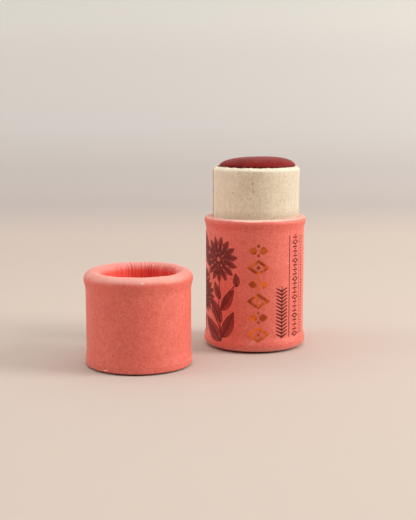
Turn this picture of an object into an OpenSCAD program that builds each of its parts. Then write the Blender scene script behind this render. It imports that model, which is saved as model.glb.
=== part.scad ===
// Push-up lip balm in a paperboard tube, with its cap taken off and stood beside it.
// Millimetres, +Z up. The origin is on the tube's axis, at the flat ring that the tube stands on.

/* [Neck] */
// Outer diameter of the neck that the cap slides over
neck_d = 19.2; // [16:0.2:26]
// Height of the neck above the body's rim
neck_rise = 10.9; // [8:0.1:16]
// Thickness of the cream facing paper on the neck
facing_t = 0.15; // [0.1:0.05:0.25]
// Thickness of the neck's board
neck_board_t = 0.65; // [0.5:0.05:1]
// Thickness of the greaseproof ply inside the neck
liner_t = 0.15; // [0.1:0.05:0.25]
// Width of the gap where the two ends of the facing paper meet
seam_w = 0.35; // [0.2:0.05:0.8]
// Direction of that gap, counted from +X towards +Y
seam_azimuth = 192; // [0:1:359]

/* [Body] */
// Height of the body from the table to its rim
body_h = 29; // [24:0.5:40]
// Thickness of the body's board
body_board_t = 1; // [0.7:0.05:1.4]
// Thickness of the coral paper on the body and on the cap
wrap_t = 0.2; // [0.15:0.05:0.3]
// Length of the coral paper that is turned in over an open edge
turn_in = 3; // [2:0.25:5]
// How far the rim swells outwards
rim_flare = 0.45; // [0.1:0.05:0.7]
// Height over which the rim swells
rim_flare_h = 1.8; // [1.4:0.1:3]
// Outer corner radius of an open edge
edge_round = 0.5; // [0.4:0.05:0.7]
// Inner corner radius of an open edge
edge_round_in = 0.4; // [0.35:0.05:0.6]

/* [Rolled foot of the body] */
// How far the rolled foot stands out from the wall
foot_bulge = 0.42; // [0.1:0.02:0.8]
// Height over which the wall swells into the rolled foot
foot_swell_h = 2; // [1:0.1:4]
// Inner bend radius of the rolled foot
foot_bend_r = 0.35; // [0.25:0.05:0.8]
// Width of the flat ring that the foot stands on
foot_flat = 0.35; // [0.2:0.05:0.8]
// Height of the turned-up end above the centre of the bend
foot_leg = 1.65; // [1:0.05:3]
// Height of the neck's glue band above the neck's lower end
glue_start = 1.5; // [0.5:0.1:4]

/* [Pusher and balm] */
// Radial clearance of the pusher and the balm in the neck
slide_gap = 0.06; // [0.04:0.01:0.1]
// Height at which the pusher stands over the rolled foot
seat_gap = 0.1; // [0.05:0.05:0.3]
// Thickness of the pusher's board ring
ring_t = 0.55; // [0.4:0.05:0.8]
// Inner bend radius of the ring's rolled lower edge
ring_bend_r = 0.45; // [0.3:0.05:0.7]
// Width of the flat on the ring's rolled lower edge
ring_flat = 0.3; // [0.1:0.05:0.6]
// Height of the ring's turned-up end above the centre of the bend
ring_leg = 1.4; // [1:0.1:2.5]
// Height of the ring above the film under the balm
ring_collar = 2.6; // [1.5:0.1:5]
// Thickness of the pusher's board disc
push_disc_t = 0.8; // [0.5:0.05:1.2]
// Thickness of the greaseproof films under the balm and under the cap's end
film_t = 0.15; // [0.1:0.05:0.25]
// Height of the balm's dome over the neck
dome_h = 2.1; // [1:0.1:4]
// Depth of the dome's edge below the top of the neck
dome_edge_depth = 0.1; // [0.05:0.05:0.5]

/* [Cap] */
// Radial clearance of the cap on the neck
cap_fit = 0.15; // [0.1:0.05:0.3]
// Room left over the balm when the cap is on
head_room = 1.95; // [0.5:0.05:4]
// Thickness of the paper that lines the cap
lining_t = 0.2; // [0.15:0.05:0.3]
// Thickness of the cap's board
cap_board_t = 0.8; // [0.6:0.05:1.2]
// How far the cap's mouth swells outwards
mouth_flare = 0.2; // [0.1:0.05:0.4]
// Height over which the mouth swells
mouth_flare_h = 3.5; // [1.4:0.1:5]
// How far the cap's rolled end stands out from the wall
cap_bulge = 0.48; // [0.1:0.02:0.8]
// Height over which the wall swells into the rolled end
cap_swell_h = 2.4; // [1:0.1:4]
// Inner bend radius of the cap's rolled end
cap_bend_r = 0.75; // [0.6:0.05:1]
// Depth of the turned-in end below the centre of the bend
cap_leg = 2.25; // [1.8:0.05:3]
// Thickness of the cap's end disc
end_disc_t = 0.6; // [0.4:0.05:1]
// Thickness of the end disc's flange
flange_t = 0.6; // [0.4:0.05:0.7]
// Height of the flange above the end disc
flange_h = 1.9; // [1.2:0.1:2.2]
// Thickness of the coral paper disc on the end disc
end_facing_t = 0.2; // [0.15:0.05:0.3]
// Clearance of that paper disc inside the flange
end_facing_gap = 0.15; // [0.05:0.05:0.4]

/* [Place of the cap] */
// Gap on the table between the cap and the tube, at their widest
cap_gap = 8.35; // [4:0.05:40]
// Direction of the cap from the tube, counted from +X towards +Y
cap_azimuth = 216.5; // [0:0.5:360]

/* [Hidden] */
$fn = 96;
// Straight pieces in a quarter turn of a bend, and in a swell
bend_steps = 8;
swell_steps = 8;
// Rings of the dome, and the two exponents of its outline
dome_steps = 14;
dome_fullness = 3;
dome_shoulder = 1.3;
quarter = 90;

// Radii from the neck inwards and outwards
neck_r = neck_d / 2;
neck_board_r = neck_r - facing_t;
liner_r = neck_board_r - neck_board_t;
neck_bore_r = liner_r - liner_t;
body_bore_r = neck_r + wrap_t;
body_r = body_bore_r + body_board_t + wrap_t;
cap_bore_r = neck_r + cap_fit;
cap_board_bore_r = cap_bore_r + lining_t;
cap_r = cap_board_bore_r + cap_board_t + wrap_t;

// Section radius and turned-in height of each rolled edge
foot_roll_r = wrap_t + body_board_t + foot_bend_r;
foot_leg_h = foot_roll_r + foot_leg;
cap_roll_r = wrap_t + cap_board_t + cap_bend_r;
cap_leg_h = cap_roll_r + cap_leg;
ring_roll_r = ring_t + ring_bend_r;
ring_leg_h = ring_roll_r + ring_leg;

// Heights in the body
neck_foot = foot_leg_h;
neck_top = body_h + neck_rise;
glue_low = neck_foot + glue_start;
glue_high = body_h - turn_in;

// Radii and heights of what slides in the neck
stick_r = neck_bore_r - slide_gap;
ring_bore_r = stick_r - ring_t;
ring_foot = neck_foot + seat_gap;
push_disc_z = ring_foot + ring_leg_h;
push_film_z = push_disc_z + push_disc_t;
balm_foot = push_film_z + film_t;
ring_top = balm_foot + ring_collar;
dome_z = neck_top - dome_edge_depth;

// Heights in the cap, which stands on its mouth
cap_depth = neck_rise + dome_h + head_room;
end_disc_z = cap_depth + film_t;
end_facing_z = end_disc_z + end_disc_t;
cap_leg_z = end_facing_z + end_facing_t;
cap_h = cap_leg_z + cap_leg_h;
flange_top = end_facing_z + flange_h;
flange_bore_r = cap_board_bore_r - flange_t;
end_facing_r = flange_bore_r - end_facing_gap;

// Centre of the cap on the table
cap_reach = body_r + max(rim_flare, foot_bulge) + cap_gap + cap_r + max(cap_bulge, mouth_flare);
cap_place = [cap_reach * cos(cap_azimuth), cap_reach * sin(cap_azimuth), 0];

// Points on an arc from angle a0 to angle a1
function arc(x, z, r, a0, a1) = [
    for (i = [0 : bend_steps])
        let (a = a0 + (a1 - a0) * i / bend_steps)
        [x + r * cos(a), z + r * sin(a)]
];

// Points where a wall at radius r swells by the bulge between two heights
function swell(r, bulge, z0, z1) = [
    for (i = [1 : swell_steps - 1])
        let (s = i / swell_steps)
        [r + bulge * (1 - cos(180 * s)) / 2, z0 + (z1 - z0) * s]
];

// The rolled edge at the bottom of a wall, seen at one depth under its outer face
function rolled_edge(depth, r, bulge, swell_h, roll_r, flat, leg_h) =
    let (bend = roll_r - depth, x = r + bulge - roll_r)
    concat(
        [[r - depth, roll_r + swell_h]],
        swell(r - depth, bulge, roll_r + swell_h, roll_r),
        arc(x, roll_r, bend, 0, -quarter),
        arc(x - flat, roll_r, bend, -quarter, -2 * quarter),
        [[x - flat - bend, leg_h]]
    );

// The open edge at the top of a wall, from the inner end of its turned-in paper
function open_edge(depth, r, bore_r, h, flare, flare_h) = concat(
    [[bore_r + depth, h - turn_in]],
    arc(bore_r + edge_round_in, h - edge_round_in, edge_round_in - depth, 2 * quarter, quarter),
    arc(r + flare - edge_round, h - edge_round, edge_round - depth, quarter, 0),
    swell(r + flare - depth, -flare, h - edge_round, h - flare_h),
    [[r - depth, h - flare_h]]
);

// Points of a path taken backwards
function backwards(path) = [for (i = [len(path) - 1 : -1 : 0]) path[i]];

// A path with its heights counted down from h
function upside_down(path, h) = [for (p = path) [p[0], h - p[1]]];

// The body's outer face at one depth
function body_edge(depth) = open_edge(depth, body_r, neck_r, body_h, rim_flare, rim_flare_h);
function body_foot(depth) = rolled_edge(
    depth, body_r, foot_bulge, foot_swell_h, foot_roll_r, foot_flat, foot_leg_h
);
function body_path(depth) = concat(body_edge(depth), body_foot(depth));

// The cap's outer face at one depth, drawn with its mouth up
function cap_edge(depth) = open_edge(depth, cap_r, cap_bore_r, cap_h, mouth_flare, mouth_flare_h);
function cap_end(depth) = rolled_edge(
    depth, cap_r, cap_bulge, cap_swell_h, cap_roll_r, 0, cap_leg_h
);
function cap_path(depth) = concat(cap_edge(depth), cap_end(depth));

// The pusher ring's outer face at one depth
function ring_path(depth) = rolled_edge(depth, stick_r, 0, ring_bend_r, ring_roll_r, ring_flat, ring_leg_h);

module turned(path) {
    rotate_extrude() polygon(path);
}

module pipe(outer_r, bore_r, low, high) {
    translate([0, 0, low]) difference() {
        cylinder(r = outer_r, h = high - low);
        translate([0, 0, -1]) cylinder(r = bore_r, h = high - low + 2);
    }
}

module disc(r, low, high) {
    translate([0, 0, low]) cylinder(r = r, h = high - low);
}

module at_cap() {
    translate(cap_place) children();
}

// Board tube of the body, with its lower edge rolled inwards
module body_board() {
    color("tan") turned(concat(body_path(wrap_t), backwards(body_foot(wrap_t + body_board_t))));
}

// Coral paper glued round the body, turned in over the rim and rolled in with the foot
module body_wrap() {
    color("salmon") turned(concat(body_path(0), backwards(body_path(wrap_t))));
}

// Board tube of the neck, which stands on the rolled foot inside the body
module neck_board() {
    color("burlywood") pipe(neck_board_r, liner_r, neck_foot, neck_top);
}

// Cream paper round the neck, whose ends leave a narrow gap
module neck_facing() {
    color("blanchedalmond") difference() {
        pipe(neck_r, neck_board_r, neck_foot, neck_top);
        rotate([0, 0, seam_azimuth])
            translate([liner_r, -seam_w / 2, neck_foot - 1])
                cube([neck_r, seam_w, neck_top - neck_foot + 2]);
    }
}

// Greaseproof ply inside the neck
module neck_liner() {
    color("ivory") pipe(liner_r, neck_bore_r, neck_foot, neck_top);
}

// Glue between the neck and the body, below the turned-in paper
module neck_glue() {
    color("whitesmoke") pipe(body_bore_r, neck_r, glue_low, glue_high);
}

// Short board ring that guides the pusher, with its lower edge rolled inwards
module pusher_ring() {
    color("tan") translate([0, 0, ring_foot]) turned(concat(
        [[ring_bore_r, ring_top - ring_foot], [stick_r, ring_top - ring_foot]],
        ring_path(0),
        backwards(ring_path(ring_t))
    ));
}

// Board disc that the finger pushes, seated on the ring's rolled edge
module pusher_disc() {
    color("burlywood") disc(ring_bore_r, push_disc_z, push_film_z);
}

// Greaseproof film between the disc and the balm
module pusher_film() {
    color("ivory") disc(ring_bore_r, push_film_z, balm_foot);
}

// Balm cast on the film, with a low dome over the neck
module balm() {
    dome = [
        for (i = [0 : dome_steps])
            let (x = cos(quarter * i / dome_steps))
            [stick_r * x, dome_z + (dome_h + dome_edge_depth) * pow(1 - pow(x, dome_fullness), 1 / dome_shoulder)]
    ];
    color("indianred") turned(concat(
        [[0, balm_foot], [ring_bore_r, balm_foot], [ring_bore_r, ring_top], [stick_r, ring_top]],
        dome
    ));
}

// Board tube of the cap, with its closed end rolled inwards
module cap_board() {
    color("tan") at_cap() turned(upside_down(
        concat(cap_path(wrap_t), backwards(cap_end(wrap_t + cap_board_t)), [
            [cap_board_bore_r, cap_h - turn_in],
        ]),
        cap_h
    ));
}

// Coral paper glued round the cap, turned in at the mouth and rolled in with the end
module cap_wrap() {
    color("salmon") at_cap() turned(upside_down(concat(cap_path(0), backwards(cap_path(wrap_t))), cap_h));
}

// Paper that lines the cap above the turned-in paper
module cap_lining() {
    color("ivory") at_cap() pipe(cap_board_bore_r, cap_bore_r, turn_in, cap_depth);
}

// Flanged board disc held by the cap's rolled end
module cap_end_disc() {
    color("burlywood") at_cap() {
        disc(cap_board_bore_r, end_disc_z, end_facing_z);
        pipe(cap_board_bore_r, flange_bore_r, end_facing_z, flange_top);
    }
}

// Coral paper disc at the bottom of the recess in the cap's end
module cap_end_facing() {
    color("salmon") at_cap() disc(end_facing_r, end_facing_z, cap_leg_z);
}

// Greaseproof film under the end disc, over the balm
module cap_end_film() {
    color("ivory") at_cap() disc(cap_board_bore_r, cap_depth, end_disc_z);
}

body_board();
body_wrap();
neck_board();
neck_facing();
neck_liner();
neck_glue();
pusher_ring();
pusher_disc();
pusher_film();
balm();
cap_board();
cap_wrap();
cap_lining();
cap_end_disc();
cap_end_facing();
cap_end_film();
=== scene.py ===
"""Looks for a push-up lip balm stick in a covered paperboard tube, with its cap stood beside it.

Sizes are in millimetres, as the maker of the tube would give them, and become metres where a mesh is made.
"""

from __future__ import annotations

import logging
import math
from collections.abc import Callable, Sequence
from dataclasses import dataclass, field
from typing import Any

import bpy
import numpy as np
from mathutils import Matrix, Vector

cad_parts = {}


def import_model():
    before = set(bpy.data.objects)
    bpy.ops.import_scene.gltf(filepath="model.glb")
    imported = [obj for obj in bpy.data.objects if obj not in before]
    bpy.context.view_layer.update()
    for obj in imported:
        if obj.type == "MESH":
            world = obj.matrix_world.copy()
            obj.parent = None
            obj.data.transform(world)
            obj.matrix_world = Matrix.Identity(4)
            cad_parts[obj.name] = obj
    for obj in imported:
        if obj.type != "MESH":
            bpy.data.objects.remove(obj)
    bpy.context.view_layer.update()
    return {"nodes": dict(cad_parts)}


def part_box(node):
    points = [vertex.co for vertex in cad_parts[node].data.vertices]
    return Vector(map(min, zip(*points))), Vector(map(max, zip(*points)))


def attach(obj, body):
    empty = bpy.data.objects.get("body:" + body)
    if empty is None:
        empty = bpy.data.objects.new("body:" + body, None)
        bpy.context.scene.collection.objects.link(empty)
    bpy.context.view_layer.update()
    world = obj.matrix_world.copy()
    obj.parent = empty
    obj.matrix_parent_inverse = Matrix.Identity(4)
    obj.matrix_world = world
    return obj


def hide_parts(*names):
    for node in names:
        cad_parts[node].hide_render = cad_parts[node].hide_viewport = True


LOG = logging.getLogger("lip_balm_stick")
MM = 0.001
TAU = 2 * math.pi

Point = tuple[float, float]
Colour = tuple[float, float, float, float]
Place = tuple[float, float, float]
Numbers = np.ndarray | float
Pair = tuple[np.ndarray, np.ndarray]
Shape = Callable[[np.ndarray, np.ndarray], Pair]
Layer = tuple["Value", float, float, float, Colour]


def paint(red: int, green: int, blue: int) -> Colour:
    """A colour as it looks on a screen, 0 to 255 a channel, in the linear values that a shader takes.

    Args:
        red: the red channel.
        green: the green channel.
        blue: the blue channel.

    Returns:
        The linear colour with an alpha of 1.
    """
    linear = []
    for channel in (red, green, blue):
        share = channel / 255
        linear.append(share / 12.92 if share <= 0.04045 else ((share + 0.055) / 1.055) ** 2.4)
    return (linear[0], linear[1], linear[2], 1.0)


def eased(values: Numbers, low: Numbers, high: Numbers) -> Numbers:
    """A smooth step from 0 at low to 1 at high.

    Args:
        values: where the step is read.
        low: the value at which the step starts.
        high: the value at which it ends.

    Returns:
        The step's height at each value.
    """
    share = np.clip((values - low) / (high - low), 0.0, 1.0)
    return share * share * (3 - 2 * share)


def bell(values: Numbers, centre: float, width: float) -> Numbers:
    """A smooth bump of height 1 at its centre, which falls to 0.37 at its width."""
    return np.exp(-(((values - centre) / width) ** 2))


class Wander:
    """An irregular closed line round an axis: waves of falling height with seeded phases."""

    def __init__(self, seed: int, slowest: int, fastest: int, fall: float = 0.7) -> None:
        """Draws the waves.

        Args:
            seed: the seed of the phases.
            slowest: the fewest waves in a turn.
            fastest: the most waves in a turn.
            fall: how quickly the faster waves lose height.
        """
        rng = np.random.default_rng(seed)
        self.counts = np.arange(slowest, fastest + 1)
        self.heights = (self.counts / slowest) ** -fall * rng.uniform(0.5, 1.0, len(self.counts))
        self.heights /= np.sqrt((self.heights**2).sum() / 2) * 2
        self.phases = rng.uniform(0, TAU, len(self.counts))
        self.drifts = rng.uniform(-1.0, 1.0, len(self.counts))

    def __call__(self, turn: np.ndarray, height: np.ndarray | float = 0.0) -> np.ndarray:
        """The line's height, mostly within -1 and 1.

        Args:
            turn: angles round the axis, in radians.
            height: heights along the axis in millimetres, over which the line drifts.

        Returns:
            The line at each angle and height.
        """
        total = np.zeros_like(turn)
        for count, size, phase, drift in zip(self.counts, self.heights, self.phases, self.drifts):
            total += size * np.cos(count * turn + phase + drift * height)
        return total


@dataclass(frozen=True)
class Mark:
    """A small pale mark on a paper: its place, turn in degrees, size in millimetres and strength."""

    x: float
    z: float
    turn: float
    length: float
    width: float
    strength: float
    axis_y: float = 0.0


# Shader graphs


class Value:
    """One output of a shader graph, which Python's operators combine with Math nodes."""

    def __init__(self, graph: Graph, socket: bpy.types.NodeSocket) -> None:
        """Keeps the graph and the output."""
        self.graph = graph
        self.socket = socket

    def _maths(self, operation: str, first: Any, second: Any = 0.0) -> Value:
        """Adds a Math node with these two inputs."""
        return self.graph.node("ShaderNodeMath", {"operation": operation}, {0: first, 1: second})

    def __add__(self, other: Value | float) -> Value:
        """Adds."""
        return self._maths("ADD", self, other)

    __radd__ = __add__

    def __sub__(self, other: Value | float) -> Value:
        """Subtracts."""
        return self._maths("SUBTRACT", self, other)

    def __rsub__(self, other: float) -> Value:
        """Subtracts from a number."""
        return self._maths("SUBTRACT", other, self)

    def __mul__(self, other: Value | float) -> Value:
        """Multiplies."""
        return self._maths("MULTIPLY", self, other)

    __rmul__ = __mul__

    def step(self, low: float, high: float) -> Value:
        """A smooth step from 0 at low to 1 at high, or falling where low is above high."""
        if low > high:
            return 1.0 - self.step(high, low)
        settings = {"interpolation_type": "SMOOTHSTEP"}
        return self.graph.node("ShaderNodeMapRange", settings, {0: self, 1: low, 2: high, 3: 0.0, 4: 1.0})


class Graph:
    """A material's node tree, built from expressions."""

    def __init__(self, name: str) -> None:
        """Starts a material with only its output and one Principled shader.

        Args:
            name: the material's name.
        """
        self.material = bpy.data.materials.new(name)
        self.material.use_nodes = True
        self.tree = self.material.node_tree
        self.shader = self.tree.nodes["Principled BSDF"]

    def node(
        self, kind: str, settings: dict[str, Any], values: dict[int | str, Any], out: int | str = 0
    ) -> Value:
        """Adds a node.

        Args:
            kind: the node's type.
            settings: what is set on the node itself first, or on its ramp under "stops".
            values: numbers, colours or outputs for its inputs, by index or identifier.
            out: the output that is returned, by index or identifier.

        Returns:
            The chosen output.
        """
        node = self.tree.nodes.new(kind)
        for key, setting in settings.items():
            if key == "stops":
                ramp = node.color_ramp
                while len(ramp.elements) < len(setting):
                    ramp.elements.new(0.5)
                for element, (place, colour) in zip(ramp.elements, setting):
                    element.position = place
                    element.color = colour
            else:
                setattr(node, key, setting)
        for key, value in values.items():
            self.put(self._pick(node.inputs, key), value)
        return Value(self, self._pick(node.outputs, out))

    @staticmethod
    def _pick(sockets: Any, key: int | str) -> bpy.types.NodeSocket:
        """The socket at an index, or with an identifier."""
        if isinstance(key, int):
            return sockets[key]
        return next(s for s in sockets if s.identifier == key)

    def put(self, socket: bpy.types.NodeSocket, value: Any) -> None:
        """Links an output to an input, or sets the input's own number or colour."""
        if isinstance(value, Value):
            self.tree.links.new(value.socket, socket)
        else:
            socket.default_value = value

    def here(self) -> Value:
        """The place on the piece, in metres in the shared frame at rest."""
        return self.node("ShaderNodeTexCoord", {}, {}, "Object")

    def stretched(self, scale: Place, turn: Place = (0.0, 0.0, 0.0)) -> Value:
        """The place on the piece, turned and stretched."""
        return self.node("ShaderNodeMapping", {}, {"Vector": self.here(), "Rotation": turn, "Scale": scale})

    def part(self, place: Value, axis: str) -> Value:
        """One coordinate of a place."""
        return self.node("ShaderNodeSeparateXYZ", {}, {0: place}, axis)

    def attribute(self, name: str) -> Value:
        """A number that the mesh carries at each vertex."""
        return self.node("ShaderNodeAttribute", {"attribute_name": name}, {}, "Fac")

    def noise(
        self, size: float, detail: float = 2.0, rough: float = 0.5, place: Value | None = None
    ) -> Value:
        """Cloudy noise.

        Args:
            size: the width of its features in millimetres.
            detail: how many finer layers it has.
            rough: how strong they are.
            place: where it is read, or None for the place on the piece.

        Returns:
            The noise, about 0 to 1.
        """
        place = place or self.here()
        values = {"Vector": place, "Scale": 1 / (size * MM), "Detail": detail, "Roughness": rough}
        return self.node("ShaderNodeTexNoise", {}, values, "Fac")

    def dashes(self, size: float, share: float, radius: float, stretch: Place, turn: Place) -> Value:
        """Short straight fibres that lie one way in a few of the cells of a scatter.

        Args:
            size: the width of a cell in millimetres.
            share: the share of the cells that hold a fibre.
            radius: half the fibre's width as a share of the cell.
            stretch: how the scatter is squeezed, below 1 along the fibres.
            turn: how the scatter is turned.

        Returns:
            1 on a fibre and 0 off it.
        """
        return self.flecks(size, share, radius, self.stretched(stretch, turn))

    def fibres(self, size: float, share: float, radius: float) -> Value:
        """Short fibres that lie three ways.

        Args:
            size: the fibres' spacing in millimetres.
            share: how many of the cells hold one.
            radius: how far one reaches in its cell.

        Returns:
            A mask, 1 on a fibre.
        """
        ways = ((1.1, 0.3, 0.0), (-0.5, 0.9, 0.4), (0.2, -0.35, 1.2))
        total = self.dashes(size, share, radius, (1.0, 1.0, 0.16), ways[0])
        for way in ways[1:]:
            total = total + self.dashes(size * 1.13, share, radius, (1.0, 1.0, 0.16), way)
        return total.step(0.0, 1.0)

    def flecks(self, size: float, share: float, radius: float, place: Value | None = None) -> Value:
        """Small round specks in a few of the cells of a scatter.

        Args:
            size: the width of a cell in millimetres.
            share: the share of the cells that hold a speck.
            radius: the speck's radius as a share of the cell.
            place: where the scatter is read, or None for the place on the piece.

        Returns:
            1 on a speck and 0 off it.
        """
        cell = {"Vector": place or self.here(), "Scale": 1 / (size * MM)}
        near = self.node("ShaderNodeTexVoronoi", {}, cell, "Distance").step(radius, radius * 0.6)
        pick = self.node("ShaderNodeTexVoronoi", {}, cell, "Color")
        grey = self.node("ShaderNodeSeparateColor", {}, {0: pick})
        return near * grey.step(1 - share, 1 - share + 0.01)

    def scuff(self, mark: Mark) -> Value:
        """One soft-edged oval mark on the front of a piece, 1 inside it and 0 outside.

        Args:
            mark: where it lies, and its size and turn.

        Returns:
            The mask.
        """
        spot = {
            "Vector": self.here(),
            "Location": (mark.x * MM, mark.axis_y * MM, mark.z * MM),
            "Rotation": (0.0, -math.radians(mark.turn), 0.0),
            "Scale": (mark.length * MM / 2, 1.0, mark.width * MM / 2),
        }
        near = self.node("ShaderNodeMapping", {"vector_type": "TEXTURE"}, spot)
        along, depth, across = (self.part(near, axis) for axis in "XYZ")
        return (along * along + across * across).step(1.0, 0.2) * depth.step(0.0, -0.003) * mark.strength

    def blend(self, factor: Value | float, base: Value | Colour, top: Value | Colour) -> Value:
        """Mixes two colours."""
        values = {"Factor_Float": factor, "A_Color": base, "B_Color": top}
        return self.node("ShaderNodeMix", {"data_type": "RGBA"}, values, "Result_Color")

    def layered(self, colour: Value | Colour, *layers: Layer) -> Value:
        """Lays tones over a colour, each where a pattern passes from one value to another.

        Args:
            colour: the colour below.
            layers: each tone's pattern, where it starts and is full, its strength and its colour.

        Returns:
            The colour with all its tones.
        """
        for pattern, start, full, strength, tone in layers:
            colour = self.blend(pattern.step(start, full) * strength, colour, tone)
        return colour

    def finish(
        self, colour: Value | Colour, rough: Value | float, height: Value, depth: float
    ) -> bpy.types.Material:
        """Feeds the shader and gives back the material.

        Args:
            colour: the base colour.
            rough: the roughness.
            height: the relief, about 0 to 1.
            depth: the relief's depth in millimetres.

        Returns:
            The material.
        """
        self.put(self.shader.inputs["Base Color"], colour)
        self.put(self.shader.inputs["Roughness"], rough)
        bump = self.node("ShaderNodeBump", {}, {"Strength": 1.0, "Distance": depth * MM, "Height": height})
        self.put(self.shader.inputs["Normal"], bump)
        return self.material

    def constant(self, **numbers: float) -> None:
        """Sets shader inputs that are the same all over, named with underscores for spaces."""
        for name, number in numbers.items():
            self.shader.inputs[name.replace("_", " ")].default_value = number


# Finishes


@dataclass(frozen=True)
class CoveringPaper:
    """Dyed uncoated paper: fine grain, loose fibres, a few flecks, paler where stretched, and painted highlight,
    shade, bounce light and contact shadow.
    """

    name: str
    colour: Colour
    shade: Colour
    # The pale tone of stretched paper, which the painted highlights use too.
    stretched: Colour
    # The colour of the painted shade in creases and recesses.
    crease: Colour
    marks: tuple[Mark, ...] = ()
    # A brighter, redder tone: painted bounce light inside the roll.
    deep: Colour = paint(255, 92, 78)
    # The near-black of the painted contact shadow.
    soil: Colour = paint(40, 10, 8)
    fleck: Colour = paint(118, 34, 30)
    lint: Colour = paint(252, 224, 214)
    relief: float = 0.034

    def material(self) -> bpy.types.Material:
        """Builds the material.

        Returns:
            The material.
        """
        graph = Graph(self.name)
        cloud = graph.noise(4.2, 2.0, 0.5)
        grain = graph.noise(0.17, 2.0, 0.65)
        grit = graph.noise(0.42, 2.0, 0.6)
        pulp = graph.noise(1.0, 2.0, 0.6)
        fibres = graph.fibres(0.5, 0.3, 0.1)
        colour = graph.layered(
            self.colour,
            (cloud, 0.3, 0.75, 0.3, self.shade),
            (pulp, 0.44, 0.72, 0.4, self.shade),
            (grit, 0.5, 0.7, 0.66, self.shade),
            (grit, 0.44, 0.28, 0.09, self.stretched),
            (grain, 0.5, 0.72, 0.45, self.shade),
            (grain, 0.47, 0.28, 0.1, self.stretched),
        )
        colour = graph.blend(fibres * 0.1, colour, self.stretched)
        # Painted bounce light: the inside of the roll is brighter and redder.
        colour = graph.blend(graph.attribute("deep"), colour, self.deep)
        # Paler where the mesh marks it: worn, stretched paper, and painted highlights on crests that face up and on
        # the folds' backs.
        worn_and_lit = graph.attribute("wear") * (0.45 + 0.5 * grit + 0.5 * grain)
        colour = graph.blend(worn_and_lit, colour, self.stretched)
        # Painted shade in the creases of the folds and in a band under the open edge's flare.
        colour = graph.blend(graph.attribute("crease"), colour, self.crease)
        colour = graph.blend(graph.flecks(1.2, 0.13, 0.1) * 0.6, colour, self.fleck)
        colour = graph.blend(graph.flecks(2.3, 0.05, 0.08) * 0.85, colour, self.lint)
        for mark in self.marks:
            colour = graph.blend(graph.scuff(mark) * (0.4 + grit), colour, self.lint)
        # Painted contact shadow along the edge that stands on the floor.
        colour = graph.blend(graph.attribute("soil"), colour, self.soil)
        rough = 0.44 + 0.16 * grain
        height = grain * 0.3 + grit * 0.36 + pulp * 0.2 + fibres * 0.16 + cloud * 0.1
        graph.constant(Specular_IOR_Level=0.45, Sheen_Weight=0.1, Sheen_Roughness=0.4)
        return graph.finish(colour, rough, height, self.relief)


@dataclass(frozen=True)
class FibrePaper:
    """Undyed paper or board with brown and pale fibres in it, with painted shade on its right side where that is
    set.
    """

    name: str
    colour: Colour
    shade: Colour
    fibre: Colour
    pale: Colour
    speck_share: float = 0.2
    relief: float = 0.045
    rough: float = 0.7
    layers: float = 0.0
    # How much painted shade the right side gets, and its grey tone.
    right_shade: float = 0.0
    right_shade_tone: Colour = paint(190, 180, 164)
    cracks: tuple[Mark, ...] = ()

    def material(self) -> bpy.types.Material:
        """Builds the material.

        Returns:
            The material.
        """
        graph = Graph(self.name)
        cloud = graph.noise(4.0, 3.0, 0.6)
        grain = graph.noise(0.16, 2.0, 0.6)
        grit = graph.noise(0.46, 2.0, 0.62)
        upright = graph.dashes(0.75, 0.16, 0.12, (1.0, 1.0, 0.25), (0.15, -0.2, 0.0))
        lying = graph.fibres(0.6, 0.35, 0.09)
        bundle = graph.dashes(1.7, 0.1, 0.08, (1.0, 1.0, 0.25), (-0.12, 0.3, 0.5))
        wisps = graph.noise(0.55, 2.0, 0.6, graph.stretched((1.0, 1.0, 0.16)))
        colour = graph.layered(
            self.colour,
            (cloud, 0.3, 0.72, 0.38, self.shade),
            (grit, 0.47, 0.7, 0.62, self.shade),
            (grit, 0.46, 0.3, 0.4, self.pale),
            (grain, 0.52, 0.75, 0.45, self.shade),
            (wisps, 0.52, 0.75, 0.3, self.shade),
            (wisps, 0.46, 0.28, 0.3, self.pale),
        )
        # Painted shade: the piece is greyed on its right side.
        if self.right_shade:
            right = graph.part(graph.here(), "X")
            colour = graph.blend(right.step(-0.002, 0.01) * self.right_shade, colour, self.right_shade_tone)
        for crack in self.cracks:
            colour = graph.blend(graph.scuff(crack) * (0.4 + grit), colour, self.fibre)
        colour = graph.blend(lying * 0.2, colour, self.pale)
        colour = graph.blend(upright * 0.35, colour, self.fibre)
        colour = graph.blend(bundle * 0.75, colour, self.fibre)
        colour = graph.blend(graph.flecks(1.0, self.speck_share, 0.1) * 0.5, colour, self.fibre)
        height = grain * 0.3 + grit * 0.55 + lying * 0.12 - upright * 0.1
        if self.layers:
            plies = graph.node(
                "ShaderNodeTexWave",
                {"wave_type": "RINGS", "rings_direction": "Z"},
                {"Vector": graph.here(), "Scale": self.layers / MM, "Distortion": 1.5, "Detail": 2.0},
                "Fac",
            )
            colour = graph.blend(plies * 0.22, colour, self.fibre)
            height = height + plies * 0.5
        # Painted shade where the mesh marks it: corners, dips and the neck's bare strip.
        colour = graph.blend(graph.attribute("crease"), colour, self.fibre)
        # Paler where the mesh marks it: wear and painted highlights.
        colour = graph.blend(graph.attribute("wear") * (0.7 + 0.45 * grit), colour, self.pale)
        graph.constant(Specular_IOR_Level=0.35, Sheen_Weight=0.08)
        return graph.finish(colour, self.rough + 0.12 * grain, height, self.relief)


@dataclass(frozen=True)
class Greaseproof:
    """Dense translucent paper with a faint shine."""

    name: str = "greaseproof_paper"
    colour: Colour = paint(226, 214, 190)
    shade: Colour = paint(204, 188, 160)

    def material(self) -> bpy.types.Material:
        """Builds the material.

        Returns:
            The material.
        """
        graph = Graph(self.name)
        cloud = graph.noise(1.6, 3.0, 0.6)
        grain = graph.noise(0.2, 1.0, 0.5)
        colour = graph.blend(cloud.step(0.35, 0.7), self.colour, self.shade)
        graph.constant(Specular_IOR_Level=0.5)
        return graph.finish(colour, 0.36 + 0.2 * cloud, grain * 0.5 + cloud * 0.5, 0.012)


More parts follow.
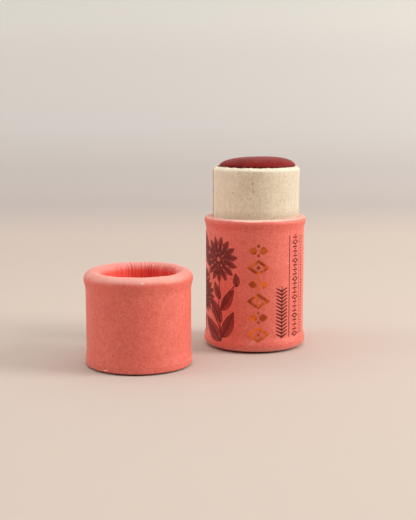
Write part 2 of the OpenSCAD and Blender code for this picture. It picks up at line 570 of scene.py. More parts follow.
@dataclass(frozen=True)
class DryGlue:
    """Dry white glue, a little uneven."""

    name: str = "dry_glue"
    colour: Colour = paint(232, 226, 210)

    def material(self) -> bpy.types.Material:
        """Builds the material.

        Returns:
            The material.
        """
        graph = Graph(self.name)
        cloud = graph.noise(0.8, 2.0, 0.6)
        colour = graph.blend(cloud * 0.4, self.colour, paint(206, 192, 160))
        return graph.finish(colour, 0.4 + 0.2 * cloud, cloud, 0.02)


@dataclass(frozen=True)
class TintedWax:
    """Soft tinted wax: satin, slightly see-through, with fine pits where bubbles burst, a painted highlight at the
    back of its top and painted shade at its foot.
    """

    name: str = "tinted_balm"
    colour: Colour = paint(139, 35, 33)
    deep: Colour = paint(98, 17, 17)
    # The dark of the painted shade at the balm's foot.
    foot: Colour = paint(52, 9, 8)
    # The pale tone of the wax's bloom, also used for a painted highlight.
    bloom_and_highlight: Colour = paint(226, 134, 124)

    def material(self) -> bpy.types.Material:
        """Builds the material.

        Returns:
            The material.
        """
        graph = Graph(self.name)
        cloud = graph.noise(4.5, 3.0, 0.6)
        skin = graph.noise(0.45, 3.0, 0.6)
        smear = graph.noise(1.5, 2.0, 0.5, graph.stretched((0.35, 1.0, 1.0), (0.0, 0.0, 0.5)))
        pits = graph.flecks(0.8, 0.3, 0.13)
        beads = graph.flecks(1.05, 0.5, 0.18)
        colour = graph.blend(cloud.step(0.3, 0.7) * 0.5, self.colour, self.deep)
        gloss = graph.attribute("gloss")
        colour = graph.blend(smear.step(0.5, 0.8) * 0.07, colour, self.bloom_and_highlight)
        # Painted highlight on the back of the dome's top, where the coat is marked.
        colour = graph.blend(gloss * 0.4, colour, self.bloom_and_highlight)
        colour = graph.blend(pits * 0.5, colour, self.deep)
        colour = graph.blend(beads * 0.4, colour, self.bloom_and_highlight)
        # Painted shade along the balm's foot, beside the neck's rim.
        colour = graph.blend(graph.attribute("crease"), colour, self.foot)
        rough = 0.3 + 0.14 * skin + 0.06 * cloud
        height = skin * 0.35 + smear * 0.35 - pits * 0.6 + beads * 0.4
        graph.put(graph.shader.inputs["Coat Weight"], gloss * (0.6 + 0.5 * skin))
        graph.constant(
            Specular_IOR_Level=0.05, Coat_Roughness=0.24, Subsurface_Weight=0.12, Subsurface_Scale=0.6 * MM
        )
        return graph.finish(colour, rough, height, 0.03)


@dataclass(frozen=True)
class PrintedInk:
    """Matt ink on the covering paper, thin where the paper's grain stands up."""

    name: str
    colour: Colour
    paper: Colour
    cover: float

    def material(self) -> bpy.types.Material:
        """Builds the material.

        Returns:
            The material.
        """
        graph = Graph(self.name)
        grain = graph.noise(0.13, 2.0, 0.6)
        cloud = graph.noise(1.7, 2.0, 0.6)
        bare = 1.0 - self.cover
        show = grain.step(0.46, 0.72) * bare + cloud.step(0.45, 0.8) * (0.5 * bare)
        colour = graph.blend(show, self.colour, self.paper)
        graph.constant(Specular_IOR_Level=0.3)
        return graph.finish(colour, 0.52 + 0.14 * grain, grain, 0.02)


@dataclass(frozen=True)
class CopperFoil:
    """Hot-pressed copper foil that follows the paper's grain."""

    name: str = "copper_foil"
    colour: Colour = paint(255, 126, 64)
    dark: Colour = paint(126, 40, 18)

    def material(self) -> bpy.types.Material:
        """Builds the material.

        Returns:
            The material.
        """
        graph = Graph(self.name)
        grain = graph.noise(0.16, 2.0, 0.6)
        cloud = graph.noise(2.2, 2.0, 0.5)
        up = graph.part(graph.here(), "Z")
        colour = graph.layered(
            self.colour,
            (cloud, 0.42, 0.62, 0.7, self.dark),
            (up, 0.015, 0.024, 0.35, self.dark),
            (grain, 0.58, 0.76, 0.5, self.dark),
        )
        graph.constant(Metallic=0.85, Specular_IOR_Level=0.5)
        return graph.finish(colour, 0.26 + 0.16 * grain, grain * 0.6 + cloud * 0.4, 0.03)


@dataclass(frozen=True)
class PlainSurface:
    """The plain pale floor, which turns a little greyer up its backdrop."""

    name: str = "pale_floor"
    wall: tuple[tuple[float, Colour], ...] = (
        (0.0, paint(205, 190, 179)),
        (0.1, paint(188, 178, 173)),
        (0.42, paint(206, 202, 198)),
        (0.9, paint(220, 220, 215)),
    )
    wall_h: float = 100.0

    def material(self) -> bpy.types.Material:
        """Builds the material.

        Returns:
            The material.
        """
        graph = Graph(self.name)
        share = graph.part(graph.here(), "Z") * (1 / (self.wall_h * MM))
        colour = graph.node("ShaderNodeValToRGB", {"stops": self.wall}, {0: share}, "Color")
        graph.constant(Specular_IOR_Level=0.15)
        return graph.finish(colour, 0.85, graph.noise(30.0, 1.0, 0.5), 0.01)


class Finishes:
    """The finishes of this object, each made once."""

    def __init__(self) -> None:
        """Makes every material."""
        coral = paint(239, 117, 100)
        tones = {
            "colour": coral, "shade": paint(214, 88, 72), "stretched": paint(255, 216, 202),
            # The tone of the painted shade in creases.
            "crease": paint(206, 40, 32),
        }
        scuffs = (
            Mark(-0.9, 2.4, 38.0, 4.2, 1.1, 0.12), Mark(-2.4, 5.6, 25.0, 1.5, 0.6, 0.13),
            Mark(2.6, 3.6, 30.0, 2.4, 0.8, 0.1),
        )
        specks = (
            Mark(-23.6, 18.7, 10.0, 0.55, 0.34, 1.0, -18.6), Mark(-31.3, 0.5, 15.0, 1.1, 0.3, 0.9, -18.6),
            Mark(-28.6, 6.0, 70.0, 2.2, 0.8, 0.08, -18.6),
        )
        cracks = (
            Mark(-0.95, 36.9, 70.0, 0.9, 0.42, 0.42), Mark(-0.85, 35.2, 96.0, 1.3, 0.36, 0.4),
            Mark(-5.2, 34.9, 20.0, 0.5, 0.4, 0.5), Mark(3.9, 33.4, 85.0, 0.6, 0.3, 0.2),
            Mark(6.2, 38.2, 10.0, 0.8, 0.3, 0.3),
        )
        self.body_coral = CoveringPaper("body_coral_paper", **tones, marks=scuffs).material()
        self.cap_coral = CoveringPaper("cap_coral_paper", **tones, marks=specks).material()
        # The neck's facing gets painted shade on its right side.
        self.cream = FibrePaper(
            "cream_facing_paper", colour=paint(236, 222, 196), shade=paint(206, 187, 153), fibre=paint(106, 84, 54),
            pale=paint(251, 241, 218), speck_share=0.14, right_shade=0.3, cracks=cracks,
        ).material()
        self.rim_board = FibrePaper(
            "cut_board", colour=paint(236, 218, 176), shade=paint(206, 178, 130), fibre=paint(140, 100, 60),
            pale=paint(250, 240, 210), speck_share=0.4, relief=0.06,
        ).material()
        self.torn = FibrePaper(
            "torn_ply", colour=paint(246, 222, 178), shade=paint(220, 180, 126), fibre=paint(112, 64, 38),
            pale=paint(253, 242, 214), speck_share=0.5, relief=0.06,
        ).material()
        self.board = FibrePaper(
            "grey_brown_board", colour=paint(176, 142, 104), shade=paint(156, 122, 86), fibre=paint(104, 74, 48),
            pale=paint(206, 178, 142), layers=2.2,
        ).material()
        self.lining = FibrePaper(
            "lining_paper", colour=paint(232, 220, 198), shade=paint(220, 204, 178), fibre=paint(178, 150, 116),
            pale=paint(244, 236, 220), speck_share=0.05, relief=0.02,
        ).material()
        self.greaseproof = Greaseproof().material()
        self.glue = DryGlue().material()
        self.balm = TintedWax().material()
        self.ink = PrintedInk("wine_ink", paint(88, 12, 12), coral, 0.9).material()
        self.wash = PrintedInk("wine_wash", paint(150, 55, 49), coral, 0.66).material()
        self.deep_wash = PrintedInk("deep_wine_wash", paint(128, 39, 35), coral, 0.74).material()
        self.petal = PrintedInk("wine_petal_ink", paint(140, 47, 43), coral, 0.7).material()
        self.foil = CopperFoil().material()


# Modelling


def deselect() -> None:
    """Leaves edit mode and deselects every object."""
    if bpy.context.object and bpy.context.object.mode != "OBJECT":
        bpy.ops.object.mode_set(mode="OBJECT")
    bpy.ops.object.select_all(action="DESELECT")


def pick(*pieces: bpy.types.Object) -> None:
    """Selects only these pieces, with the first one active."""
    deselect()
    for piece in pieces:
        piece.select_set(True)
    bpy.context.view_layer.objects.active = pieces[0]


def rows_of(piece: bpy.types.Object, key: str) -> np.ndarray:
    """One of the piece's vertex properties, one row each."""
    flat = np.empty(len(piece.data.vertices) * 3)
    piece.data.vertices.foreach_get(key, flat)
    return flat.reshape(-1, 3)


def points_of(piece: bpy.types.Object) -> np.ndarray:
    """The piece's vertices in millimetres, one row each."""
    return rows_of(piece, "co") / MM


def set_points(piece: bpy.types.Object, points: np.ndarray) -> None:
    """Moves the piece's vertices to these places in millimetres."""
    piece.data.vertices.foreach_set("co", (points * MM).ravel())
    piece.data.update()


def mark(piece: bpy.types.Object, name: str, values: np.ndarray) -> None:
    """Stores one number at each vertex, from 0 to 1, which a material reads."""
    layer = piece.data.attributes.new(name, "FLOAT", "POINT")
    layer.data.foreach_set("value", np.clip(values, 0.0, 1.0).astype(np.float32))


def apply_modifier(piece: bpy.types.Object, kind: str, **settings: Any) -> None:
    """Adds a modifier and applies it.

    Args:
        piece: the piece that gets it.
        kind: the modifier's type.
        settings: what is set on it.
    """
    pick(piece)
    modifier = piece.modifiers.new(kind.lower(), kind)
    for key, setting in settings.items():
        setattr(modifier, key, setting)
    bpy.ops.object.modifier_apply(modifier=modifier.name)


def spun(name: str, outline: Sequence[Point], steps: int) -> bpy.types.Object:
    """Draws a closed outline vertex by vertex and turns it round the upright axis.

    Args:
        name: the piece's name.
        outline: radius and height of each corner, in millimetres.
        steps: how many slices the full turn has.

    Returns:
        The closed piece, with its faces pointing outwards.
    """
    deselect()
    corners = [Vector((radius, 0.0, height)) * MM for radius, height in outline]
    bpy.ops.mesh.primitive_plane_add(size=MM, location=(0, 0, 0))
    piece = bpy.context.object
    piece.name = name
    piece.data.name = name
    bpy.ops.object.mode_set(mode="EDIT")
    bpy.ops.mesh.merge(type="CENTER")
    bpy.ops.transform.translate(value=corners[0])
    closed = outline[0][0] > 0 or outline[-1][0] > 0
    for here, there in zip(corners, corners[1:] + corners[:1] if closed else corners[1:]):
        bpy.ops.mesh.extrude_region_move(TRANSFORM_OT_translate={"value": there - here})
    bpy.ops.mesh.select_all(action="SELECT")
    bpy.ops.mesh.remove_doubles(threshold=1e-7)
    bpy.ops.object.mode_set(mode="OBJECT")
    apply_modifier(
        piece, "SCREW", axis="Z", angle=TAU, steps=steps, render_steps=steps, use_merge_vertices=True,
        merge_threshold=1e-6, use_smooth_shade=True,
    )
    pick(piece)
    bpy.ops.object.mode_set(mode="EDIT")
    bpy.ops.mesh.select_all(action="SELECT")
    bpy.ops.mesh.remove_doubles(threshold=1e-7)
    bpy.ops.mesh.normals_make_consistent(inside=False)
    bpy.ops.object.mode_set(mode="OBJECT")
    return piece


def smooth(piece: bpy.types.Object, degrees: float) -> None:
    """Smooths the shading over edges that turn by less than this."""
    pick(piece)
    bpy.ops.object.shade_smooth_by_angle(angle=math.radians(degrees))


def dress(piece: bpy.types.Object, material: bpy.types.Material) -> None:
    """Gives the piece one material."""
    piece.data.materials.clear()
    piece.data.materials.append(material)


def place(piece: bpy.types.Object, material: bpy.types.Material, body: str, slot: str, *nodes: str) -> None:
    """Dresses a piece, rides it on a body, hides the nodes that it stands for, and reports it.

    Args:
        piece: the finished piece.
        material: its material.
        body: the body that it moves with.
        slot: not used.
        nodes: the nodes that it replaces.
    """
    dress(piece, material)
    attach(piece, body)
    if nodes:
        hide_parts(*nodes)
    LOG.info("%s: %d faces on %s", piece.name, len(piece.data.polygons), body)


@dataclass(frozen=True)
class Pleats:
    """Fine folds that the covering paper gathers into where it is rolled in, with painted shade in their creases.

    Angles round the roll are in degrees, from 0 where the wall ends to 180 at the inside.
    """

    seed: int
    count: int
    height: float
    starts: Point
    run: float
    drift: float = 4.2
    standing: Point = (102.0, 136.0)
    widening: Point = (112.0, 172.0)
    crease_shade_w: Point = (0.15, 0.48)
    fine_share: float = 0.2
    calm_azimuth: float = 180.0
    calm_share: float = 0.75

    def fold(self, turn: np.ndarray, rolled: np.ndarray) -> tuple[np.ndarray, np.ndarray, np.ndarray]:
        """How far each point of the paper stands up in a fold.

        Args:
            turn: the angle of each point round the axis, in radians.
            rolled: how far round the roll each point lies, in degrees.

        Returns:
            The folds' height in millimetres, the painted shade in the creases between them, and how far on a fold's
            back each point lies.
        """
        rng = np.random.default_rng(self.seed)
        wander = Wander(self.seed + 1, 3, 23, 0.2)
        phase = (self.count * turn + self.drift * wander(turn)) / TAU
        which = np.floor(phase).astype(int) % self.count
        inside = phase - np.floor(phase)
        sizes = rng.uniform(0.25, 1.0, self.count)[which]
        starts = rng.uniform(*self.starts, self.count)[which]
        ridge = 2.3 * inside**0.62 * (1 - inside) ** 0.85
        fine = np.abs(np.sin(math.pi * (2.3 * phase + 0.4 * wander(turn + 1.0)))) ** 0.8
        calm = 1 - self.calm_share * (0.5 + 0.5 * np.cos(turn - math.radians(self.calm_azimuth))) ** 2
        share = calm * eased(rolled, starts, starts + self.run)
        form = (1 - self.fine_share) * ridge * sizes + self.fine_share * fine
        stands = self.height * share * eased(rolled, *self.standing) * form
        narrow, wide = self.crease_shade_w
        width = narrow + (wide - narrow) * eased(rolled, *self.widening)
        # Painted shade in the creases between the folds.
        crease = share * bell(np.minimum(inside, 1 - inside), 0.0, width) * (0.35 + 0.65 * sizes)
        return stands, crease, share * (ridge - 0.5)


@dataclass
class Spots:
    """Where the points of a turned tube lie on it, with one value for each point.

    The turn is in radians, the place round the roll in degrees and the place past the lap in millimetres.
    """

    turn: np.ndarray
    radius: np.ndarray
    z: np.ndarray
    rolled: np.ndarray
    lap: np.ndarray
    outside: np.ndarray
    upward: np.ndarray


@dataclass
class RolledTube:
    """A covered board tube, drawn with its open edge up and its rolled edge down.

    The sizes are in this order: the tube, its open edge, its rolled edge, its lap, and its wear with painted
    highlight and its painted contact shadow.
    Then come those that both tubes share or only one has. A pair in degrees is where something starts and
    ends round the roll, as in Pleats. Each uneven size is how far that part wanders, in millimetres.
    """

    name: str
    body: str
    centre: Point
    height: float
    bore_r: float
    wall_r: float
    board_t: float
    pleats: Pleats
    seed: int

    flare: float
    flare_h: float
    edge_w: float
    edge_h: float
    band_h: float

    bulge: float
    swell_h: float
    bend_r: float
    flat: float
    leg: float

    lap_azimuth: float
    wear_and_highlight_azimuth: float
    wear_and_highlight_share: float
    rim_wear_and_highlight: float
    roll_wear_and_highlight: float
    # How high, and from which radius out, the painted contact shadow reaches.
    contact_shade_h: float
    contact_shade_r: float
    fall_from: float = -0.34
    rim_band: float = 0.44
    wrap_t: float = 0.2
    turn_in: float = 3.0
    edge_in: float = 0.3
    ridge: float = 0.0
    ridge_rows: tuple[Point, ...] = (
        (0.34, 0.0), (0.22, 0.2), (0.11, 0.75), (0.0, 1.0), (-0.11, 0.75), (-0.22, 0.2),
    )
    lean: Point = (0.0, 0.0)
    sink: Point = (0.0, 0.0)
    sink_azimuth: float = 0.0
    lap_t: float = 0.08
    lap_w: float = 4.0
    back_calm: float = 0.0
    shadow: float = 0.0
    soil: float = 0.8
    uneven_wall: float = 0.03
    uneven_ripple: float = 0.006
    uneven_edge: float = 0.035
    uneven_rim: float = 0.03
    uneven_roll: float = 0.04
    uneven_top: float = 0.06
    lap_fades: Point = (60.0, 140.0)
    folds_lift: Point = (60.0, 100.0)
    leans: Point = (35.0, 150.0)
    wear_and_highlight_ends: Point = (132.0, 182.0)
    wear_and_highlight_run: float = 44.0
    # Where inside the roll the painted bounce light grows, and how strong it is.
    bounce_light_span: Point = (134.0, 180.0)
    depth: float = 0.5
    steps: int = 640
    bend_steps: int = 16
    wall_rows: int = 18
    mouth_down: bool = False

    @property
    def roll_r(self) -> float:
        """The section radius of the rolled edge."""
        return self.wrap_t + self.board_t + self.bend_r

    @property
    def roll_x(self) -> float:
        """The radius at which the centre of the bend lies."""
        return self.wall_r + self.bulge - self.roll_r

    @property
    def crown(self) -> float:
        """The height at which the band along the open edge ends."""
        return self.height - self.edge_h - self.band_h

    @staticmethod
    def arc(x: float, z: float, radius: float, start: float, end: float, steps: int) -> list[Point]:
        """Points on an arc between two angles in degrees."""
        angles = [math.radians(start + (end - start) * i / steps) for i in range(steps + 1)]
        return [(x + radius * math.cos(a), z + radius * math.sin(a)) for a in angles]

    @staticmethod
    def swell(radius: float, bulge: float, start: float, end: float, steps: int) -> list[Point]:
        """Points where a wall swells by the bulge between two heights."""
        points = []
        for i in range(steps + 1):
            share = i / steps
            swell = bulge * (1 - math.cos(math.pi * share)) / 2
            points.append((radius + swell, start + (end - start) * share))
        return points

    def edge(self, depth: float, steps: int) -> list[Point]:
        """The open edge at one depth, from the inner end of the turned-in paper.

        Args:
            depth: how far under the paper's face it runs, in millimetres.
            steps: how many steps each bend has.

        Returns:
            Its radii and heights.
        """
        inner, bore = self.edge_in - depth, self.bore_r + depth
        rows = [(bore, self.height - self.turn_in), (bore, self.height - self.turn_in / 2)]
        rows += self.arc(self.bore_r + self.edge_in, self.height - self.edge_in, inner, 180, 90, steps)
        outer = self.wall_r + self.flare - depth
        for i in range(steps + 1):
            angle = math.pi / 2 * (1 - i / steps)
            across = outer - self.edge_w + depth + (self.edge_w - depth) * math.cos(angle)
            rows.append((across, self.height - self.edge_h + (self.edge_h - depth) * math.sin(angle)))
        for up, share in self.ridge_rows:
            rows.append((outer - self.fallen(self.crown + up) + self.ridge * share, self.crown + up))
        start, low = self.crown - self.ridge_rows[0][0], self.height - self.flare_h
        heights = [start + (low - start) * i / steps for i in range(steps + 1)]
        return rows + [(outer - self.fallen(height), height) for height in heights]

    def fallen(self, height: float) -> float:
        """How far the flare has come in at a height."""
        start, low = self.crown + self.fall_from, self.height - self.flare_h
        share = min(max((start - height) / (start - low), 0.0), 1.0) ** 0.72
        return self.flare * float(eased(share, 0.0, 1.0))

    def wall(self) -> list[Point]:
        """The outside of the straight wall between the open edge and the roll, without its two ends."""
        top = self.height - self.flare_h
        low = self.roll_r + self.swell_h
        return [(self.wall_r, top + (low - top) * i / self.wall_rows) for i in range(1, self.wall_rows)]

    def roll(self, depth: float, steps: int) -> list[Point]:
        """The rolled edge at one depth, from the wall to the end of the leg.

        Args:
            depth: how far under the paper's face it runs, in millimetres.
            steps: how many steps each bend has.

        Returns:
            Its radii and heights.
        """
        bend = self.roll_r - depth
        inner_x = self.roll_x - self.flat
        start = self.swell(self.wall_r - depth, self.bulge, self.roll_r + self.swell_h, self.roll_r, steps)
        down = self.arc(self.roll_x, self.roll_r, bend, 0, -90, steps)
        back = self.arc(inner_x, self.roll_r, bend, -90, -180, steps)
        leg = [(inner_x - bend, self.roll_r + self.leg * i / steps) for i in range(1, steps + 1)]
        return start + down[1:] + back[0 if self.flat else 1 :] + leg

    def wander(self, number: int, slowest: int, fastest: int, fall: float = 0.7) -> Wander:
        """One of this tube's own irregular lines."""
        return Wander(self.seed + number, slowest, fastest, fall)

    def spots(self, points: np.ndarray, normals: np.ndarray) -> Spots:
        """Where points lie on the tube.

        Args:
            points: places in millimetres relative to the axis, with the roll down.
            normals: the direction in which each point faces.

        Returns:
            Their places on it.
        """
        x, y, z = points.T
        turn = np.arctan2(y, x)
        radius = np.hypot(x, y)
        bend_x = np.where(radius < self.roll_x - self.flat / 2, self.roll_x - self.flat, self.roll_x)
        rolled = np.degrees(np.arctan2(self.roll_r - z, radius - bend_x))
        rolled = np.where(rolled < -91, rolled + 360, rolled)
        lap = (turn - math.radians(self.lap_azimuth)) % TAU * self.wall_r
        outside = (normals[:, 0] * x + normals[:, 1] * y) / radius > 0.2
        return Spots(turn, radius, z, rolled, lap, outside, normals[:, 2])

    def swollen(self, at: Spots) -> np.ndarray:
        """How far the made tube stands out of its true radius, with its lap and its soft unevenness.

        Args:
            at: where the points lie on the true tube.

        Returns:
            The distance at each point, in millimetres.
        """
        near_edge = eased(at.z, self.height - self.flare_h - 0.5, self.height - self.edge_h)
        near_roll = eased(at.z, self.roll_r + self.swell_h, self.roll_r)
        on_wall = at.radius > self.bore_r + self.wrap_t * 1.5
        soft = self.uneven_wall * self.wander(2, 2, 9)(at.turn, at.z * 0.16)
        ripple = self.uneven_ripple * self.wander(4, 16, 60, 0.4)(at.turn, at.z * 0.5)
        edge = self.uneven_edge * near_edge * self.wander(5, 3, 24, 0.5)(at.turn)
        roll = self.uneven_roll * near_roll * self.wander(3, 2, 11)(at.turn)
        over = eased(at.lap, 0.0, 0.3) * (1 - eased(at.lap, self.lap_w, self.lap_w * 2.2))
        lapped = self.lap_t * over * (1 - eased(at.rolled, *self.lap_fades)) * at.outside
        return on_wall * (soft + ripple + edge) + roll + lapped

    def moved(self, at: Spots, stands: np.ndarray) -> np.ndarray:
        """The places of points on the made tube, with its folds, its leaning roll and its sunken side.

        Args:
            at: where the points lie on the true tube.
            stands: how far each stands up in a fold, in millimetres.

        Returns:
            Their places in millimetres relative to the axis.
        """
        out = np.radians(np.minimum(at.rolled, 180))
        radius = at.radius + self.swollen(at) + stands * np.cos(out)
        z = at.z - stands * np.sin(out) * eased(at.rolled, *self.folds_lift)
        near_rim = eased(at.z, self.height - 1.2, self.height - 0.3)
        z += self.uneven_rim * near_rim * self.wander(6, 4, 22, 0.6)(at.turn)
        if not self.flat:
            on_top = eased(at.rolled, 20, 90) * (1 - eased(at.rolled, 100, 170))
            z += self.uneven_top * on_top * self.wander(3, 2, 11)(at.turn)
        dip = 0.5 + 0.5 * np.cos(at.turn - math.radians(self.sink_azimuth))
        z += (self.sink[0] + self.sink[1] * dip) * eased(at.z, self.roll_r * 1.6, 0.2)
        lean = eased(at.rolled, *self.leans)
        x = radius * np.cos(at.turn) + self.lean[0] * lean
        y = radius * np.sin(at.turn) + self.lean[1] * lean
        return np.column_stack([x, y, z])

    def worn_and_lit(self, at: Spots, back: np.ndarray) -> np.ndarray:
        """How pale the paper is: wear with a painted highlight on the roll and the open edge, painted highlight on
        the folds' backs and the ridge, and a pale line along the lap.

        Args:
            at: where the points lie.
            back: how far on a fold's back each lies.

        Returns:
            The wear and painted highlight at each point, about 0 to 1.
        """
        ragged = self.wander(7, 5, 44, 0.35)(at.turn)
        streaks = self.wander(8, 30, 140, 0.15)(at.turn)
        sided = 1 - self.wear_and_highlight_share * np.sin(at.turn - math.radians(self.wear_and_highlight_azimuth)) ** 2
        start = 1 + 2.5 * ragged
        roll = self.roll_wear_and_highlight * sided * eased(at.rolled, start, start + self.wear_and_highlight_run)
        roll *= 1 - eased(at.rolled, *self.wear_and_highlight_ends)
        # Less painted highlight at the back of the roll.
        roll *= 1 - self.back_calm * eased(-np.sin(at.turn), 0.1, 0.9)
        # A painted highlight on the backs of the folds.
        roll *= 0.88 + 0.1 * self.wander(3, 2, 11)(at.turn) + 0.06 * streaks + 0.85 * back
        low = self.height - self.edge_h * (self.rim_band + 0.035 * ragged)
        rim = self.rim_wear_and_highlight * sided * eased(at.z, low, low + 0.16) * (0.9 + 0.08 * ragged + 0.12 * streaks)
        # The open edge gets its wear and painted highlight only where it faces up.
        wear = np.maximum(roll, np.where(at.upward > -0.2, rim, 0.0))
        seam = 0.09 * bell(at.lap, 0.1, 0.16) * (0.6 + 0.4 * streaks)
        # A painted highlight on the ridge under the open edge, strongest at its left and right.
        patchy = np.cos(at.turn) ** 2 * np.clip(0.6 + 0.7 * self.wander(9, 2, 9, 0.3)(at.turn), 0, 1)
        band = 6 * self.ridge * patchy * bell(at.z, self.crown, 0.18)
        return wear + (seam + band) * at.outside

    def made(self, name: str, outline: list[Point]) -> bpy.types.Object:
        """Spins an outline of this tube, shapes it and turns it the way that it stands.

        Args:
            name: the piece's name.
            outline: the radii and heights of its corners.

        Returns:
            The piece, with what the covering paper's material reads at each vertex.
        """
        piece = spun(name, outline, self.steps)
        at = self.spots(points_of(piece), rows_of(piece, "normal"))
        stands, crease, back = self.pleats.fold(at.turn, at.rolled)
        points = self.moved(at, stands)
        if self.mouth_down:
            points[:, 2] = self.height - points[:, 2]
            points[:, 1] *= -1
        points[:, 2] = np.maximum(points[:, 2], 0.0)
        # Painted contact shadow: the outer paper's lowest fraction of a millimetre is darkened where it meets the
        # floor.
        low = 1 - eased(points[:, 2], 0.03, self.contact_shade_h)
        low *= eased(np.hypot(points[:, 0], points[:, 1]), self.contact_shade_r, self.contact_shade_r + 0.2)
        set_points(piece, points + np.array([*self.centre, 0.0]))
        # Painted shade in a soft band under the open edge's flare.
        under_rim_shadow = self.shadow * bell(at.z, self.crown - 0.4, 0.6) * at.outside
        mark(piece, "crease", np.maximum(crease, under_rim_shadow))
        mark(piece, "wear", self.worn_and_lit(at, back))
        # Painted bounce light inside the roll.
        mark(piece, "deep", self.depth * eased(at.rolled, *self.bounce_light_span))
        mark(piece, "soil", self.soil * low)
        smooth(piece, 50)
        return piece

    def build(self, paper: bpy.types.Material, board: bpy.types.Material) -> bpy.types.Object:
        """Makes the covering paper and the board tube under it.

        Args:
            paper: the covering paper's material.
            board: the board's material.

        Returns:
            The covering paper.
        """
        outer = self.edge(0.0, 8) + self.wall() + self.roll(0.0, self.bend_steps)
        under = self.edge(self.wrap_t, 4) + self.roll(self.wrap_t, 6)
        cover = self.made(self.name + "_cover_paper", outer + under[::-1])
        place(cover, paper, self.body, self.name + "_wrap", self.name + "_wrap")
        face = self.edge(self.wrap_t, 4) + self.roll(self.wrap_t, 8)
        bore = self.roll(self.wrap_t + self.board_t, 8)
        tube = self.made(self.name + "_board_tube", face + bore[::-1])
        place(tube, board, self.body, self.name + "_board", self.name + "_board")
        return cover


@dataclass
class Cap:
    """The cap, stood on its mouth with its rolled end up."""

    finishes: Finishes
    centre: Point

    def tube(self) -> RolledTube:
        """The covered tube of the cap."""
        return RolledTube(
            name="cap", body="cap", centre=self.centre, height=19.9, bore_r=9.75, wall_r=11.02, board_t=0.8,
            pleats=Pleats(seed=21, count=96, height=0.27, starts=(88, 128), run=26), seed=40,
            flare=0.15, flare_h=3.5, edge_w=0.35, edge_h=0.3, band_h=1.05, ridge=0.04,
            bulge=0.38, swell_h=2.4, bend_r=0.75, flat=0.0, leg=2.25, lean=(0.2, -0.05), sink=(0.02, 0.3),
            sink_azimuth=90, lap_azimuth=255.0, wear_and_highlight_azimuth=90, wear_and_highlight_share=0.54, rim_wear_and_highlight=0.45,
            roll_wear_and_highlight=0.55, back_calm=0.22, contact_shade_h=0.26, contact_shade_r=10.72, mouth_down=True,
        )

    def build(self, nodes: dict[str, bpy.types.Object]) -> None:
        """Builds and dresses the cap.

        Args:
            nodes: the frame's nodes by name.
        """
        self.tube().build(self.finishes.cap_coral, self.finishes.board)
        dress(nodes["cap_lining"], self.finishes.lining)
        dress(nodes["cap_end_disc"], self.finishes.board)
        dress(nodes["cap_end_facing"], self.finishes.cap_coral)
        dress(nodes["cap_end_film"], self.finishes.greaseproof)


@dataclass
class Body:
    """The covered body that stands on its rolled foot."""

    finishes: Finishes

    def tube(self) -> RolledTube:
        """The covered tube of the body."""
        return RolledTube(
            name="body", body="tube", centre=(0.0, 0.0), height=29.1, bore_r=9.6, wall_r=11.0, board_t=1.0,
            pleats=Pleats(seed=5, count=90, height=0.16, starts=(98, 142), run=46), seed=70,
            flare=0.37, flare_h=3.0, edge_w=1.0, edge_h=0.9, band_h=0.36, fall_from=0.34, rim_band=0.41,
            bulge=0.42, swell_h=2.0, bend_r=0.35, flat=0.35, leg=1.65,
            lap_azimuth=62.0, wear_and_highlight_azimuth=270, wear_and_highlight_share=0.55, rim_wear_and_highlight=1.0, roll_wear_and_highlight=0.26, shadow=0.12,
            contact_shade_h=0.3, contact_shade_r=9.95,
        )

    def build(self, nodes: dict[str, bpy.types.Object]) -> bpy.types.Object:
        """Builds and dresses the body.

        Args:
            nodes: the frame's nodes by name.

        Returns:
            The covering paper, which the print lies on.
        """
        dress(nodes["neck_glue"], self.finishes.glue)
        return self.tube().build(self.finishes.body_coral, self.finishes.board)


